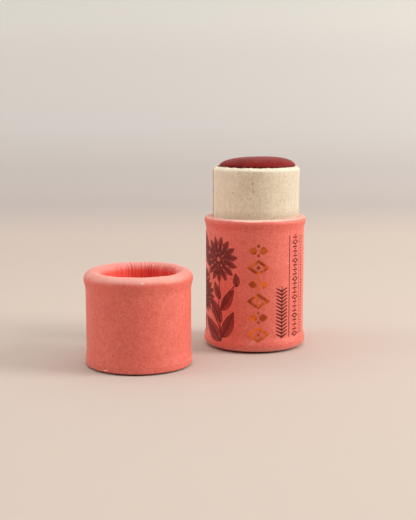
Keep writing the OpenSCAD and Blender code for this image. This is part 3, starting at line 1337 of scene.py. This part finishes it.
@dataclass
class Neck:
    """The bare neck: facing paper with its lapped seam, board with its cut rim, greaseproof ply."""

    finishes: Finishes
    low: float = 3.2
    top: float = 40.1
    facing_r: float = 9.6
    board_r: float = 9.45
    liner_r: float = 8.8
    bore_r: float = 8.65
    rim_round: float = 0.8
    lip: float = 0.1
    seam_azimuth: float = 195.3
    bare_turn: float = 9.5
    seam_step: float = 0.1
    off_axis: float = 0.12
    collar_z: float = 29.1
    torn_waves: tuple[Place, ...] = ((0.35, 1.7, 0.7), (0.22, 4.3, 2.0), (0.14, 9.1, 0.0))
    torn_edge: float = 0.6
    wall_rows: int = 26
    rim_steps: int = 8
    steps: int = 720

    def set_off(self, points: np.ndarray) -> np.ndarray:
        """Sets the neck's outside a little to one side above the body, with its bore left true.

        Args:
            points: places in millimetres on the true neck.

        Returns:
            The places on the neck as it stands.
        """
        shift = self.off_axis * eased(points[:, 2], self.collar_z - 0.4, self.collar_z + 0.4)
        shift *= eased(np.hypot(points[:, 0], points[:, 1]), self.liner_r + 0.04, self.board_r - 0.1)
        return points + np.outer(shift, (1.0, 0.0, 0.0))

    def facing(self) -> bpy.types.Object:
        """The facing paper, wrapped round over the rim, with one end lapped over the other.

        Returns:
            The piece.
        """
        crown = self.top - self.rim_round
        rise = (crown - self.low) / self.wall_rows
        outer = [(self.facing_r, self.low + rise * i) for i in range(self.wall_rows + 1)]
        bend = RolledTube.arc(self.facing_r - self.rim_round, crown, self.rim_round, 0, 90, self.rim_steps)
        inner = [
            (self.board_r - self.rim_round + 0.1, self.top - 0.1), (self.board_r, crown - 0.1),
            (self.board_r, self.low),
        ]
        piece = spun("neck_facing_paper", outer + bend[1:] + inner, self.steps)
        x, y, z = points_of(piece).T
        turn = np.arctan2(y, x)
        radius = np.hypot(x, y)
        past = np.degrees(turn - math.radians(self.seam_azimuth)) % 360
        waves = sum(size * np.sin(rate * z + phase) for size, rate, phase in self.torn_waves)
        torn = 360 - self.bare_turn + waves
        bare = eased(past, torn - self.torn_edge, torn)
        lumps = Wander(90, 9, 34, 0.1)(turn)
        high = eased(z, self.top - 2.6, self.top - 1.2) * (1 - eased(z, self.top - 0.5, self.top))
        radius += self.lip * high * (1 + 0.4 * Wander(91, 3, 20)(turn))
        radius += 0.014 * Wander(92, 2, 9)(turn, z * 0.2) + 0.004 * Wander(93, 20, 70, 0.3)(turn, z)
        radius += 0.05 * bell(past, 0.0, 1.2) - bare * self.seam_step
        radius += 0.04 * eased(z, self.collar_z - 0.2, self.collar_z + 0.4)
        z = z + eased(z, self.top - 0.5, self.top) * (0.07 * Wander(94, 8, 60, 0.35)(turn) + 0.05 * lumps)
        set_points(piece, self.set_off(np.column_stack([radius * np.cos(turn), radius * np.sin(turn), z])))
        mark(piece, "crease", self.shade_and_bare_strip(turn, z, bare))
        mark(piece, "wear", self.worn_and_lit(turn, z, past, lumps))
        smooth(piece, 40)
        return piece

    def shade_and_bare_strip(self, turn: np.ndarray, z: np.ndarray, bare: np.ndarray) -> np.ndarray:
        """How dark the facing is painted: the bare strip, where the board's darker tone shows with painted shade,
        and painted shade in the corner over the body's rim.

        Args:
            turn: the angle of each point round the axis, in radians.
            z: its height in millimetres.
            bare: how far it lies on the bare strip.

        Returns:
            The darkness at each point, from 0 to 1.
        """
        uneven = 0.75 + 0.25 * Wander(98, 9, 60, 0.3)(turn)
        above = z - self.collar_z
        # Painted shade in the corner where the neck comes out of the body's rim.
        corner = 0.85 * uneven * bell(above, 0.08, 0.15) + 0.25 * bell(above, 0.3, 0.5)
        return np.maximum(0.4 * bare * (1 + 0.25 * np.sin(2.9 * z)), corner)

    def worn_and_lit(self, turn: np.ndarray, z: np.ndarray, past: np.ndarray, lumps: np.ndarray) -> np.ndarray:
        """How pale the facing is painted: a painted highlight on the lumpy rounded rim, strongest at the front, a
        painted highlight along the lapped end, and painted light on the side by the seam.

        Args:
            turn: the angle of each point round the axis, in radians.
            z: its height in millimetres.
            past: how far past the seam it lies, in degrees.
            lumps: the rim's lumpiness there.

        Returns:
            The painted highlight at each point, about 0 to 1.
        """
        ragged = Wander(99, 6, 60, 0.3)(turn)
        rim = eased(z, self.top - 0.85 + 0.12 * ragged, self.top - 0.6 + 0.16 * ragged)
        # The rim's painted highlight is strongest at the front.
        rim *= 0.5 + 0.5 * np.clip(-np.sin(turn), 0, 1) ** 2
        rim *= 0.78 + 0.2 * ragged + 0.25 * lumps
        # Painted highlight along the lapped end's edge, and painted light on the front-left beside the seam.
        return rim + 0.8 * bell(past, 2.6, 2.2) + 0.24 * bell(past, 26.0, 22.0)

    def board(self) -> bpy.types.Object:
        """The neck's board, with soft fibres standing up along its cut rim.

        Returns:
            The piece.
        """
        crown = self.top - 0.12
        outer = self.board_r - 0.02
        rim = [
            (outer, self.low), (outer, crown - 0.5), (outer - 0.4, crown - 0.04),
            (outer - 0.48, crown + 0.02), (self.liner_r + 0.06, crown + 0.02),
            (self.liner_r, crown - 0.06), (self.liner_r, self.low),
        ]
        piece = spun("neck_board_tube", rim, self.steps)
        points = points_of(piece)
        x, y, z = points.T
        turn = np.arctan2(y, x)
        tufts = Wander(95, 30, 120, 0.2)(turn, np.hypot(x, y) * 3) + 0.8 * Wander(96, 8, 40, 0.3)(turn)
        points[:, 2] += eased(z, crown - 0.2, crown) * 0.08 * tufts
        set_points(piece, self.set_off(points))
        # Painted highlight on the top of the cut rim, where it faces up.
        mark(piece, "wear", 0.3 * eased(z, self.top - 1, self.top))
        smooth(piece, 60)
        return piece

    def liner(self) -> bpy.types.Object:
        """The greaseproof ply, with its torn upper edge beside the balm.

        Returns:
            The piece.
        """
        outline = [
            (self.liner_r, self.low), (self.liner_r, self.top - 0.5), (self.liner_r, self.top - 0.02),
            (self.bore_r + 0.02, self.top), (self.bore_r, self.top - 0.1), (self.bore_r, self.top - 0.5),
            (self.bore_r, self.low),
        ]
        piece = spun("neck_liner_paper", outline, self.steps)
        points = points_of(piece)
        x, y, z = points.T
        tufts = Wander(97, 12, 110, 0.15)(np.arctan2(y, x))
        raised = eased(z, self.top - 0.4, self.top)
        points[:, 2] += raised * (0.04 + 0.13 * tufts)
        set_points(piece, points)
        # Painted shade in the dips between the torn tufts and a painted highlight on the raised ones.
        mark(piece, "crease", raised * np.clip(-0.9 * tufts - 0.05, 0, 0.8))
        mark(piece, "wear", raised * np.clip(0.8 * tufts, 0, 0.9))
        smooth(piece, 40)
        return piece

    def build(self) -> None:
        """Builds and dresses the neck."""
        place(self.facing(), self.finishes.cream, "tube", "neck_facing", "neck_facing")
        place(self.board(), self.finishes.rim_board, "tube", "neck_board", "neck_board")
        place(self.liner(), self.finishes.torn, "tube", "greaseproof", "neck_liner")


@dataclass
class Stick:
    """The balm on its sliding pusher."""

    finishes: Finishes
    radius: float = 8.59
    foot_r: float = 8.04
    foot_z: float = 6.65
    ring_top: float = 9.25
    dome_z: float = 39.8
    dome_h: float = 2.4
    fullness: float = 2.6
    shoulder: float = 2.4
    shift: float = 0.45
    tilt: float = 0.016
    rings: int = 44
    steps: int = 360
    pit_seed: int = 14
    pit_count: int = 34

    def balm(self) -> bpy.types.Object:
        """The balm, with a dome that is fuller to the right, small pits and a soft edge, painted shade at its foot
        and a painted highlight at the back of its top.

        Returns:
            The piece.
        """
        dome = []
        for i in range(self.rings):
            share = math.cos(math.pi / 2 * i / self.rings)
            lift = self.dome_h * (1 - share**self.fullness) ** (1 / self.shoulder)
            dome.append((self.radius * share, self.dome_z + lift))
        side = [(self.radius, self.ring_top + (self.dome_z - self.ring_top) * i / 6) for i in range(6)]
        foot = [(0.0, self.foot_z), (self.foot_r, self.foot_z), (self.foot_r, self.ring_top)]
        piece = spun("balm_stick", foot + side + dome + [(0.0, self.dome_z + self.dome_h)], self.steps)
        points = points_of(piece)
        x, y, z = points.T
        turn = np.arctan2(y, x)
        radius = np.hypot(x, y)
        share = np.clip(radius / self.radius, 0, 1)
        above = eased(z, self.dome_z - 0.05, self.dome_z + 0.5)
        uneven = 0.05 * Wander(61, 1, 6)(turn, radius * 0.3) * share * (1 - share**8)
        points[:, 0] += self.shift * eased(z, self.dome_z + 0.1, self.dome_z + 0.6)
        points[:, 2] += above * (uneven + self.tilt * x * (1 - share**8))
        points[:, 2] += above * self.pits(points)
        set_points(piece, points)
        # Painted shade along the foot of the dome, beside the neck's rim.
        shade = eased(z, self.dome_z - 1.6, self.dome_z - 0.1)
        shade *= 1 - eased(z, self.dome_z + 0.38, self.dome_z + 0.8)
        mark(piece, "crease", 0.85 * shade)
        # The back of the dome's top gets a glossier coat and a painted highlight, strongest in the middle.
        far = 1 + eased(y, -0.5, 3.0) * (0.3 + 0.8 * bell(x, 0.0, 3.2))
        mark(piece, "gloss", eased(rows_of(piece, "normal")[:, 2], 0.9, 0.985) * eased(y, -0.9, 1.3) * far)
        smooth(piece, 60)
        return piece

    def pits(self, points: np.ndarray) -> np.ndarray:
        """Depth of the small burst bubbles and beads on the dome, in millimetres.

        Args:
            points: places on the dome, in millimetres.

        Returns:
            The depth at each place.
        """
        rng = np.random.default_rng(self.pit_seed)
        total = np.zeros(len(points))
        for _ in range(self.pit_count):
            reach = self.radius * math.sqrt(rng.uniform(0.02, 0.92))
            angle = rng.uniform(0, TAU)
            width = rng.uniform(0.12, 0.3)
            depth = rng.choice([-0.07, -0.05, 0.035])
            away = np.hypot(points[:, 0] - reach * math.cos(angle), points[:, 1] - reach * math.sin(angle))
            total += depth * bell(away, 0.0, width)
        return total

    def build(self, nodes: dict[str, bpy.types.Object]) -> None:
        """Builds and dresses the balm and its pusher.

        Args:
            nodes: the frame's nodes by name.
        """
        place(self.balm(), self.finishes.balm, "stick", "balm", "balm")
        dress(nodes["pusher_ring"], self.finishes.board)
        dress(nodes["pusher_disc"], self.finishes.board)
        dress(nodes["pusher_film"], self.finishes.greaseproof)


def round_from(centre: Point, reach: float, angle: float) -> Point:
    """The flat place at a distance from another, in a direction in radians."""
    return (centre[0] + reach * math.cos(angle), centre[1] + reach * math.sin(angle))


@dataclass(frozen=True)
class LeafForm:
    """A pointed leaf or petal on the flat paper: base, direction in degrees, length, width and curl."""

    base: Point
    azimuth: float
    length: float
    width: float
    curl: float = 0.0

    def at(self, along: Numbers, off: Numbers) -> tuple[Numbers, Numbers]:
        """The flat place at a share along the midrib and a distance to its left.

        Args:
            along: the share, from 0 at the root to 1 at the tip.
            off: the distance in millimetres.

        Returns:
            Its flat coordinates.
        """
        lean = math.radians(self.azimuth)
        ahead = along * self.length
        aside = off + self.curl * along**2
        return (
            self.base[0] + ahead * math.cos(lean) - aside * math.sin(lean),
            self.base[1] + ahead * math.sin(lean) + aside * math.cos(lean),
        )

    def half(self, along: Numbers) -> Numbers:
        """Half the leaf's width at a share along it."""
        return np.sin(math.pi * np.clip(along, 0, 1) ** 0.8) ** 0.9 * self.width / 2


@dataclass
class Print:
    """The generic ornament printed and foiled on the body, drawn flat and laid on the paper.

    Flat places are millimetres along the paper from the front, to the right, and up from the table.
    """

    finishes: Finishes
    paper: bpy.types.Object
    paper_r: float = 11.0
    thickness: float = 0.03
    vein_gap: float = 0.42
    vein_least: float = 0.12
    vein_lean: float = 52.0
    rim_line: float = 0.085
    petal_rings: tuple[tuple[float, ...], ...] = (
        (15, 0.5, 0.5, 0.25, 0.0), (12, 0.28, 0.42, 0.2125, 11.0), (8, 0.1, 0.28, 0.1625, 4.0),
    )
    shapes: dict[tuple[int, int], list[Shape]] = field(default_factory=dict)

    def patch(self, across: int, along: int, shape: Shape) -> None:
        """Keeps one flat shape for the next lay.

        Args:
            across: faces across the shape.
            along: faces along it.
            shape: gives the flat place for shares across, from -1 to 1, and along, from 0 to 1.
        """
        self.shapes.setdefault((across, along), []).append(shape)

    @staticmethod
    def ribbon(across: int, along: int, shapes: list[Shape]) -> bpy.types.Object:
        """One long grid, cut into a strip for each shape and bent into all of them.

        Args:
            across: faces across a strip.
            along: faces along it.
            shapes: the shapes.

        Returns:
            The flat piece.
        """
        deselect()
        rows = len(shapes) * (along + 1) - 1
        bpy.ops.mesh.primitive_grid_add(x_subdivisions=across, y_subdivisions=rows, size=2)
        piece = bpy.context.object
        flat = points_of(piece) * MM
        row = np.rint((flat[:, 1] + 1) / 2 * rows).astype(int)
        which = row // (along + 1)
        share = (row % (along + 1)) / along
        right, up = np.empty(len(row)), np.empty(len(row))
        for index, shape in enumerate(shapes):
            strip = which == index
            right[strip], up[strip] = shape(flat[strip, 0], share[strip])
        pick(piece)
        bpy.ops.object.mode_set(mode="EDIT")
        bpy.ops.mesh.select_mode(type="EDGE")
        bpy.ops.mesh.select_all(action="DESELECT")
        bpy.ops.object.mode_set(mode="OBJECT")
        for edge in piece.data.edges:
            edge.select = which[edge.vertices[0]] != which[edge.vertices[1]]
        bpy.ops.object.mode_set(mode="EDIT")
        bpy.ops.mesh.delete(type="EDGE")
        bpy.ops.mesh.select_mode(type="VERT")
        bpy.ops.object.mode_set(mode="OBJECT")
        set_points(piece, np.column_stack([right, np.zeros(len(right)), up]))
        return piece

    def stroke(self, start: Point, end: Point, width: float, bow: float = 0.0, taper: float = 0.0) -> None:
        """A line.

        Args:
            start: where it starts.
            end: where it ends.
            width: its width in millimetres.
            bow: how far it is bowed to its left, in millimetres.
            taper: the share of its width that it loses on its way.
        """
        run = (end[0] - start[0], end[1] - start[1])
        length = math.hypot(*run)
        aside = (-run[1] / length, run[0] / length)

        def shape(across: np.ndarray, along: np.ndarray) -> Pair:
            """A place on the line, by its shares across and along it."""
            off = across * width / 2 * (1 - taper * along) + bow * 4 * along * (1 - along)
            return tuple(start[i] + run[i] * along + aside[i] * off for i in (0, 1))

        self.patch(1, max(2, round(length / 0.45)), shape)

    def leaf(self, form: LeafForm) -> None:
        """A leaf, whole."""

        def shape(across: np.ndarray, along: np.ndarray) -> Pair:
            """A place on the leaf, by its shares across and along it."""
            return form.at(along, across * form.half(along))

        self.patch(4, max(6, round(form.length / 0.4)), shape)

    def engraved_leaf(self, form: LeafForm) -> None:
        """The veins and shading strokes of a leaf, longer on the one side, with its rim.

        Args:
            form: the leaf.
        """
        count = max(5, round(form.length / self.vein_gap))
        for i in range(1, count):
            root = form.at(i / count, 0.0)
            for side, share, width in ((-1, 0.6, 0.09), (1, 0.92, 0.13)):
                reach = form.half(i / count) * share
                if reach >= self.vein_least:
                    tip = round_from(root, reach * 1.2, math.radians(form.azimuth + side * self.vein_lean))
                    self.stroke(root, tip, width, 0.0, 0.6)
        self.leaf_rim(form)

    def leaf_rim(self, form: LeafForm) -> None:
        """The midrib and the two edges of a leaf, as thin lines.

        Args:
            form: the leaf.
        """
        for side in (-1, 0, 1):

            def shape(across: np.ndarray, along: np.ndarray, side: int = side) -> Pair:
                """A place on the midrib or on an edge, by its shares across and along it."""
                line = self.rim_line * (1.15 - 0.8 * along) * (0.7 if side else 1.0)
                return form.at(along, side * form.half(along) + across * line)

            self.patch(1, max(8, round(form.length / 0.3)), shape)

    def dot(self, centre: Point, radius: float, squash: float = 1.0) -> None:
        """A round or oval spot.

        Args:
            centre: its middle.
            radius: half its height in millimetres.
            squash: its width as a share of its height.
        """

        def shape(across: np.ndarray, along: np.ndarray) -> Pair:
            """A place on the spot, by its shares across and up it."""
            up = 2 * along - 1
            wide = np.sqrt(np.maximum(1 - up * up, 0.02))
            return centre[0] + across * wide * radius * squash, centre[1] + up * radius

        self.patch(2, 6, shape)

    def lozenge(self, centre: Point, half_w: float, half_h: float, line: float) -> None:
        """A lozenge drawn as one closed line with mitred corners.

        Args:
            centre: its middle.
            half_w: half its width in millimetres.
            half_h: half its height in millimetres.
            line: half the line's width in millimetres.
        """
        slant = math.hypot(half_w, half_h) / 2

        def shape(across: np.ndarray, along: np.ndarray) -> Pair:
            """A place on the line, by its shares across it and round the four sides."""
            side = np.clip(np.floor(along * 4), 0, 3)
            share = along * 4 - side
            corner_x = np.array([half_w, 0.0, -half_w, 0.0, half_w])
            corner_y = np.array([0.0, half_h, 0.0, -half_h, 0.0])
            index = side.astype(int)
            grow = 1 + across * line * slant / (half_w * half_h)
            right = corner_x[index] + (corner_x[index + 1] - corner_x[index]) * share
            up = corner_y[index] + (corner_y[index + 1] - corner_y[index]) * share
            return centre[0] + right * grow, centre[1] + up * grow

        self.patch(1, 24, shape)

    def lay(self, name: str, material: bpy.types.Material, above: float) -> None:
        """Joins the flat shapes, wraps them round the body and gives them the ink's thickness.

        Args:
            name: the piece's name.
            material: the ink or the foil.
            above: how far its face stands off the paper, in millimetres.
        """
        ribbons = [self.ribbon(*counts, shapes) for counts, shapes in self.shapes.items()]
        self.shapes = {}
        pick(*ribbons)
        bpy.ops.object.join()
        piece = bpy.context.object
        piece.name = name
        piece.data.name = name
        points = points_of(piece)
        angle = points[:, 0] / self.paper_r
        radius = self.paper_r + 0.3
        set_points(piece, np.column_stack([radius * np.sin(angle), -radius * np.cos(angle), points[:, 2]]))
        bpy.ops.object.mode_set(mode="EDIT")
        bpy.ops.mesh.select_all(action="SELECT")
        bpy.ops.mesh.remove_doubles(threshold=2e-6)
        bpy.ops.object.mode_set(mode="OBJECT")
        apply_modifier(
            piece, "SHRINKWRAP", target=self.paper, wrap_method="NEAREST_SURFACEPOINT",
            wrap_mode="ABOVE_SURFACE", offset=above * MM,
        )
        self.face_out(piece)
        apply_modifier(piece, "SOLIDIFY", thickness=self.thickness * MM, offset=-1.0)
        place(piece, material, "tube", "body_wrap")

    @staticmethod
    def face_out(piece: bpy.types.Object) -> None:
        """Turns over the faces that point at the axis.

    Args:
        piece: the piece whose faces are turned.
    """
        pick(piece)
        for polygon in piece.data.polygons:
            centre = polygon.center
            polygon.select = polygon.normal.x * centre.x + polygon.normal.y * centre.y < 0
        bpy.ops.object.mode_set(mode="EDIT")
        bpy.ops.mesh.select_mode(type="FACE")
        bpy.ops.mesh.flip_normals()
        bpy.ops.mesh.select_mode(type="VERT")
        bpy.ops.object.mode_set(mode="OBJECT")

    def posy(self) -> None:
        """Blossoms over long leaves in wine ink at the left of the body."""
        leaves = self.leaves()
        blossoms = [(where, size, self.petals(where, size, turn)) for where, size, turn in self.blossoms()]
        outer = self.petal_rings[0][0]
        for leaf in leaves:
            self.leaf(leaf)
        self.lay("print_leaf_wash", self.finishes.wash, above=0.014)
        for _, _, petals in blossoms:
            for petal in petals[:outer]:
                self.leaf(petal)
        self.lay("print_outer_petals", self.finishes.petal, above=0.018)
        for _, _, petals in blossoms:
            for petal in petals[outer:]:
                self.leaf(petal)
        self.lay("print_inner_petals", self.finishes.deep_wash, above=0.022)
        for leaf in leaves:
            self.engraved_leaf(leaf)
        for start, end, bow in self.stems():
            self.stroke(start, end, 0.26, bow, 0.35)
        for centre, size, petals in blossoms:
            for petal in petals:
                self.leaf_rim(petal)
                self.petal_lines(petal)
            self.seeds(centre, size * 0.17)
        self.lay("print_posy_lines", self.finishes.ink, above=0.026)

    @staticmethod
    def stems() -> list[tuple[Point, Point, float]]:
        """The stems: start, end and bow."""
        return [
            ((-8.0, 1.4), (-8.9, 16.0), 0.7),
            ((-8.2, 2.6), (-14.6, 9.8), -1.3),
            ((-13.0, 15.0), (-12.6, 19.4), 0.2),
            ((-8.6, 8.0), (-4.5, 14.9), 0.9),
            ((-17.6, 1.7), (-20.2, 15.6), -0.7),
            ((-18.4, 8.0), (-24.2, 12.4), -0.8),
        ]

    @staticmethod
    def leaves() -> list[LeafForm]:
        """The leaves."""
        rows = (
            ((-8.1, 2.2), 150.0, 8.2, 3.1, -0.7),
            ((-8.2, 3.0), 55.0, 6.6, 2.8, 0.9),
            ((-8.5, 6.2), 119.0, 6.4, 2.7, 0.8),
            ((-8.6, 9.0), 47.0, 6.0, 2.4, 0.8),
            ((-8.7, 11.4), 126.0, 4.2, 1.9, -0.5),
            ((-4.5, 14.5), 90.0, 3.0, 1.5, 0.2),
            ((-17.6, 2.6), 62.0, 5.2, 2.3, 0.5),
            ((-17.7, 3.2), 146.0, 6.4, 2.8, -0.6),
            ((-18.1, 6.4), 128.0, 5.6, 2.4, -0.5),
            ((-24.1, 12.2), 112.0, 3.4, 1.7, 0.2),
            ((-19.5, 10.8), 52.0, 4.6, 2.0, 0.5),
            ((-13.0, 19.0), 142.0, 6.6, 3.0, -0.6),
            ((-13.6, 21.4), 124.0, 5.6, 2.4, 0.4),
            ((-13.4, 16.2), 176.0, 5.4, 2.2, 0.5),
        )
        return [LeafForm(*row) for row in rows]

    @staticmethod
    def blossoms() -> list[tuple[Point, float, float]]:
        """The blossoms: centre, size and turn."""
        return [((-9.3, 20.2), 5.1, 8.0), ((-15.0, 11.8), 4.2, 20.0), ((-20.9, 18.6), 3.9, 2.0)]

    def petals(self, centre: Point, size: float, turn: float) -> list[LeafForm]:
        """A blossom's petals, ring by ring from the outermost.

        Args:
            centre: the blossom's middle on the flat paper.
            size: its radius in millimetres.
            turn: how far it is turned, in degrees.

        Returns:
            The petals, with sizes by the rings' count, start, reach, width and own turn.
        """
        forms = []
        for count, start, reach, width, shift in self.petal_rings:
            for i in range(count):
                azimuth = turn + shift + 360 * i / count
                base = round_from(centre, size * start, math.radians(azimuth))
                forms.append(LeafForm(base, azimuth, size * reach, size * width))
        return forms

    def petal_lines(self, form: LeafForm) -> None:
        """Two short engraved lines at the root of a petal."""
        for off in (-0.14 * form.width, 0.14 * form.width):
            self.stroke(form.at(0.12, off), form.at(0.62, off), 0.09, 0.0, 0.8)

    def seeds(self, centre: Point, radius: float) -> None:
        """The dotted middle of a blossom."""
        golden = math.pi * (3 - math.sqrt(5))
        for i in range(14):
            self.dot(round_from(centre, radius * math.sqrt((i + 0.5) / 14), golden * i), 0.1)

    def foil_column(self) -> None:
        """A column of lozenges and paired petals in copper foil."""
        low, pitch, count = 4.15, 3.68, 6
        for i in range(count):
            centre = (0.33, low + pitch * i)
            if i % 2:
                for side in (-1, 1):
                    self.leaf(LeafForm((centre[0] + side * 0.2, centre[1]), 90 - 90 * side, 2.0, 1.7))
                    self.dot((centre[0], centre[1] + side * 1.02), 0.34)
            else:
                self.lozenge(centre, 2.05, 1.4, 0.62)
                self.dot(centre, 0.4)
        self.lay("print_foil_column", self.finishes.foil, above=0.016)

    def side_band(self) -> None:
        """Rules, a herringbone band and a row of small marks in wine ink at the right."""
        spine, rule, chain, thin_rule, dots = 5.85, 7.9, 9.85, 11.5, 12.5
        self.stroke((rule, 3.1), (rule, 25.5), 0.2)
        self.stroke((thin_rule, 3.3), (thin_rule, 25.4), 0.15)
        self.stroke((spine, 3.0), (spine, 14.5), 0.2)
        for i in range(14):
            up = 3.3 + 0.78 * i
            for side in (-1, 1):
                self.stroke((spine + side * 0.05, up), (spine + side * 1.4, up + 0.72), 0.4, 0.0, 0.35)
        for i in range(22):
            up = 3.6 + 1.02 * i
            if i % 4:
                self.stroke((chain - 0.75, up), (chain + 0.75, up), 0.3)
                self.dot((chain, up + 0.51), 0.17, 1.2)
            else:
                self.lozenge((chain, up), 0.9, 0.46, 0.22)
        for i in range(34):
            self.dot((dots, 3.6 + 0.65 * i), 0.17, 1.4)
        self.lay("print_side_band", self.finishes.ink, above=0.014)

    def build(self) -> None:
        """Prints the body."""
        self.posy()
        self.foil_column()
        self.side_band()


@dataclass
class Studio:
    """The plain floor, the lights and the camera."""

    camera_at: Place = (-10.56, -237.5, 55.1)
    pitch: float = 8.663
    focal: float = 73.6
    film: float = 36.0
    floor_w: float = 2400.0
    floor_front: float = -900.0
    floor_back: float = 190.0
    cove_r: float = 60.0
    wall_h: float = 900.0
    floor_z: float = -0.26
    middle: Place = (-10.0, -8.0, 18.0)
    room_light: float = 0.22

    def camera(self) -> None:
        """Sets up the camera at the photograph's viewing angle."""
        data = bpy.data.cameras.new("camera")
        data.lens = self.focal
        data.sensor_width = self.film
        data.clip_start = 0.01
        camera = bpy.data.objects.new("camera", data)
        bpy.context.scene.collection.objects.link(camera)
        camera.location = Vector(self.camera_at) * MM
        camera.rotation_euler = (math.radians(90 - self.pitch), 0.0, 0.0)
        bpy.context.scene.camera = camera

    def floor(self) -> None:
        """Lays a pale sheet that curves up into a backdrop."""
        deselect()
        bpy.ops.mesh.primitive_grid_add(x_subdivisions=2, y_subdivisions=40, size=2)
        sheet = bpy.context.object
        sheet.name = "floor_sheet"
        flat = points_of(sheet) * MM
        share = (flat[:, 1] + 1) / 2
        bend = self.cove_r * math.pi / 2
        total = self.floor_back - self.floor_front + bend + self.wall_h
        run = share * total - (self.floor_back - self.floor_front)
        turn = np.clip(run / self.cove_r, 0, math.pi / 2)
        y = self.floor_back + np.where(run < 0, run, self.cove_r * np.sin(turn))
        z = self.cove_r * (1 - np.cos(turn)) + np.maximum(run - bend, 0)
        set_points(sheet, np.column_stack([flat[:, 0] * self.floor_w / 2, y, z + self.floor_z]))
        smooth(sheet, 60)
        dress(sheet, PlainSurface().material())

    def lamp(self, name: str, at: Place, size: Point, power: float, colour: Place) -> None:
        """Adds one soft box that faces the object.

        Args:
            name: the lamp's name.
            at: its place in millimetres.
            size: its width and height in millimetres.
            power: its power in watts.
            colour: its colour.
        """
        data = bpy.data.lights.new(name, "AREA")
        data.shape = "RECTANGLE"
        data.size, data.size_y = size[0] * MM, size[1] * MM
        data.energy = power
        data.color = colour
        lamp = bpy.data.objects.new(name, data)
        bpy.context.scene.collection.objects.link(lamp)
        lamp.location = Vector(at) * MM
        aim = Vector(self.middle) * MM - lamp.location
        lamp.rotation_euler = aim.to_track_quat("-Z", "Y").to_euler()

    def lights(self) -> None:
        """Sets the soft boxes and the even light of the room."""
        self.lamp("top_box", (-10, -60, 650), (1050, 1050), 3.7, (1.0, 0.99, 0.975))
        self.lamp("right_box", (560, -100, 330), (300, 360), 3.5, (1.0, 0.985, 0.96))
        self.lamp("left_box", (-560, -40, 240), (260, 360), 1.0, (1.0, 0.99, 0.98))
        world = bpy.data.worlds.new("room")
        world.use_nodes = True
        room = world.node_tree.nodes["Background"]
        room.inputs["Color"].default_value = (1.0, 0.98, 0.96, 1.0)
        room.inputs["Strength"].default_value = self.room_light
        bpy.context.scene.world = world

    def build(self) -> None:
        """Sets the stage."""
        bpy.context.scene.view_settings.view_transform = "Standard"
        self.camera()
        self.floor()
        self.lights()


def cap_centre() -> Point:
    """The cap's axis on the table, in millimetres, from its own node."""
    low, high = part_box("cap_end_film")
    return ((low.x + high.x) / 2 / MM, (low.y + high.y) / 2 / MM)


def main() -> None:
    """Builds the object's looks round the frame, then sets the stage."""
    logging.basicConfig(level=logging.INFO, format="%(name)s: %(message)s")
    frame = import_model()
    nodes = frame["nodes"]
    deselect()
    finishes = Finishes()
    Cap(finishes, cap_centre()).build(nodes)
    paper = Body(finishes).build(nodes)
    Neck(finishes).build()
    Stick(finishes).build(nodes)
    Print(finishes, paper).build()
    Studio().build()


if __name__ == "__main__":
    main()
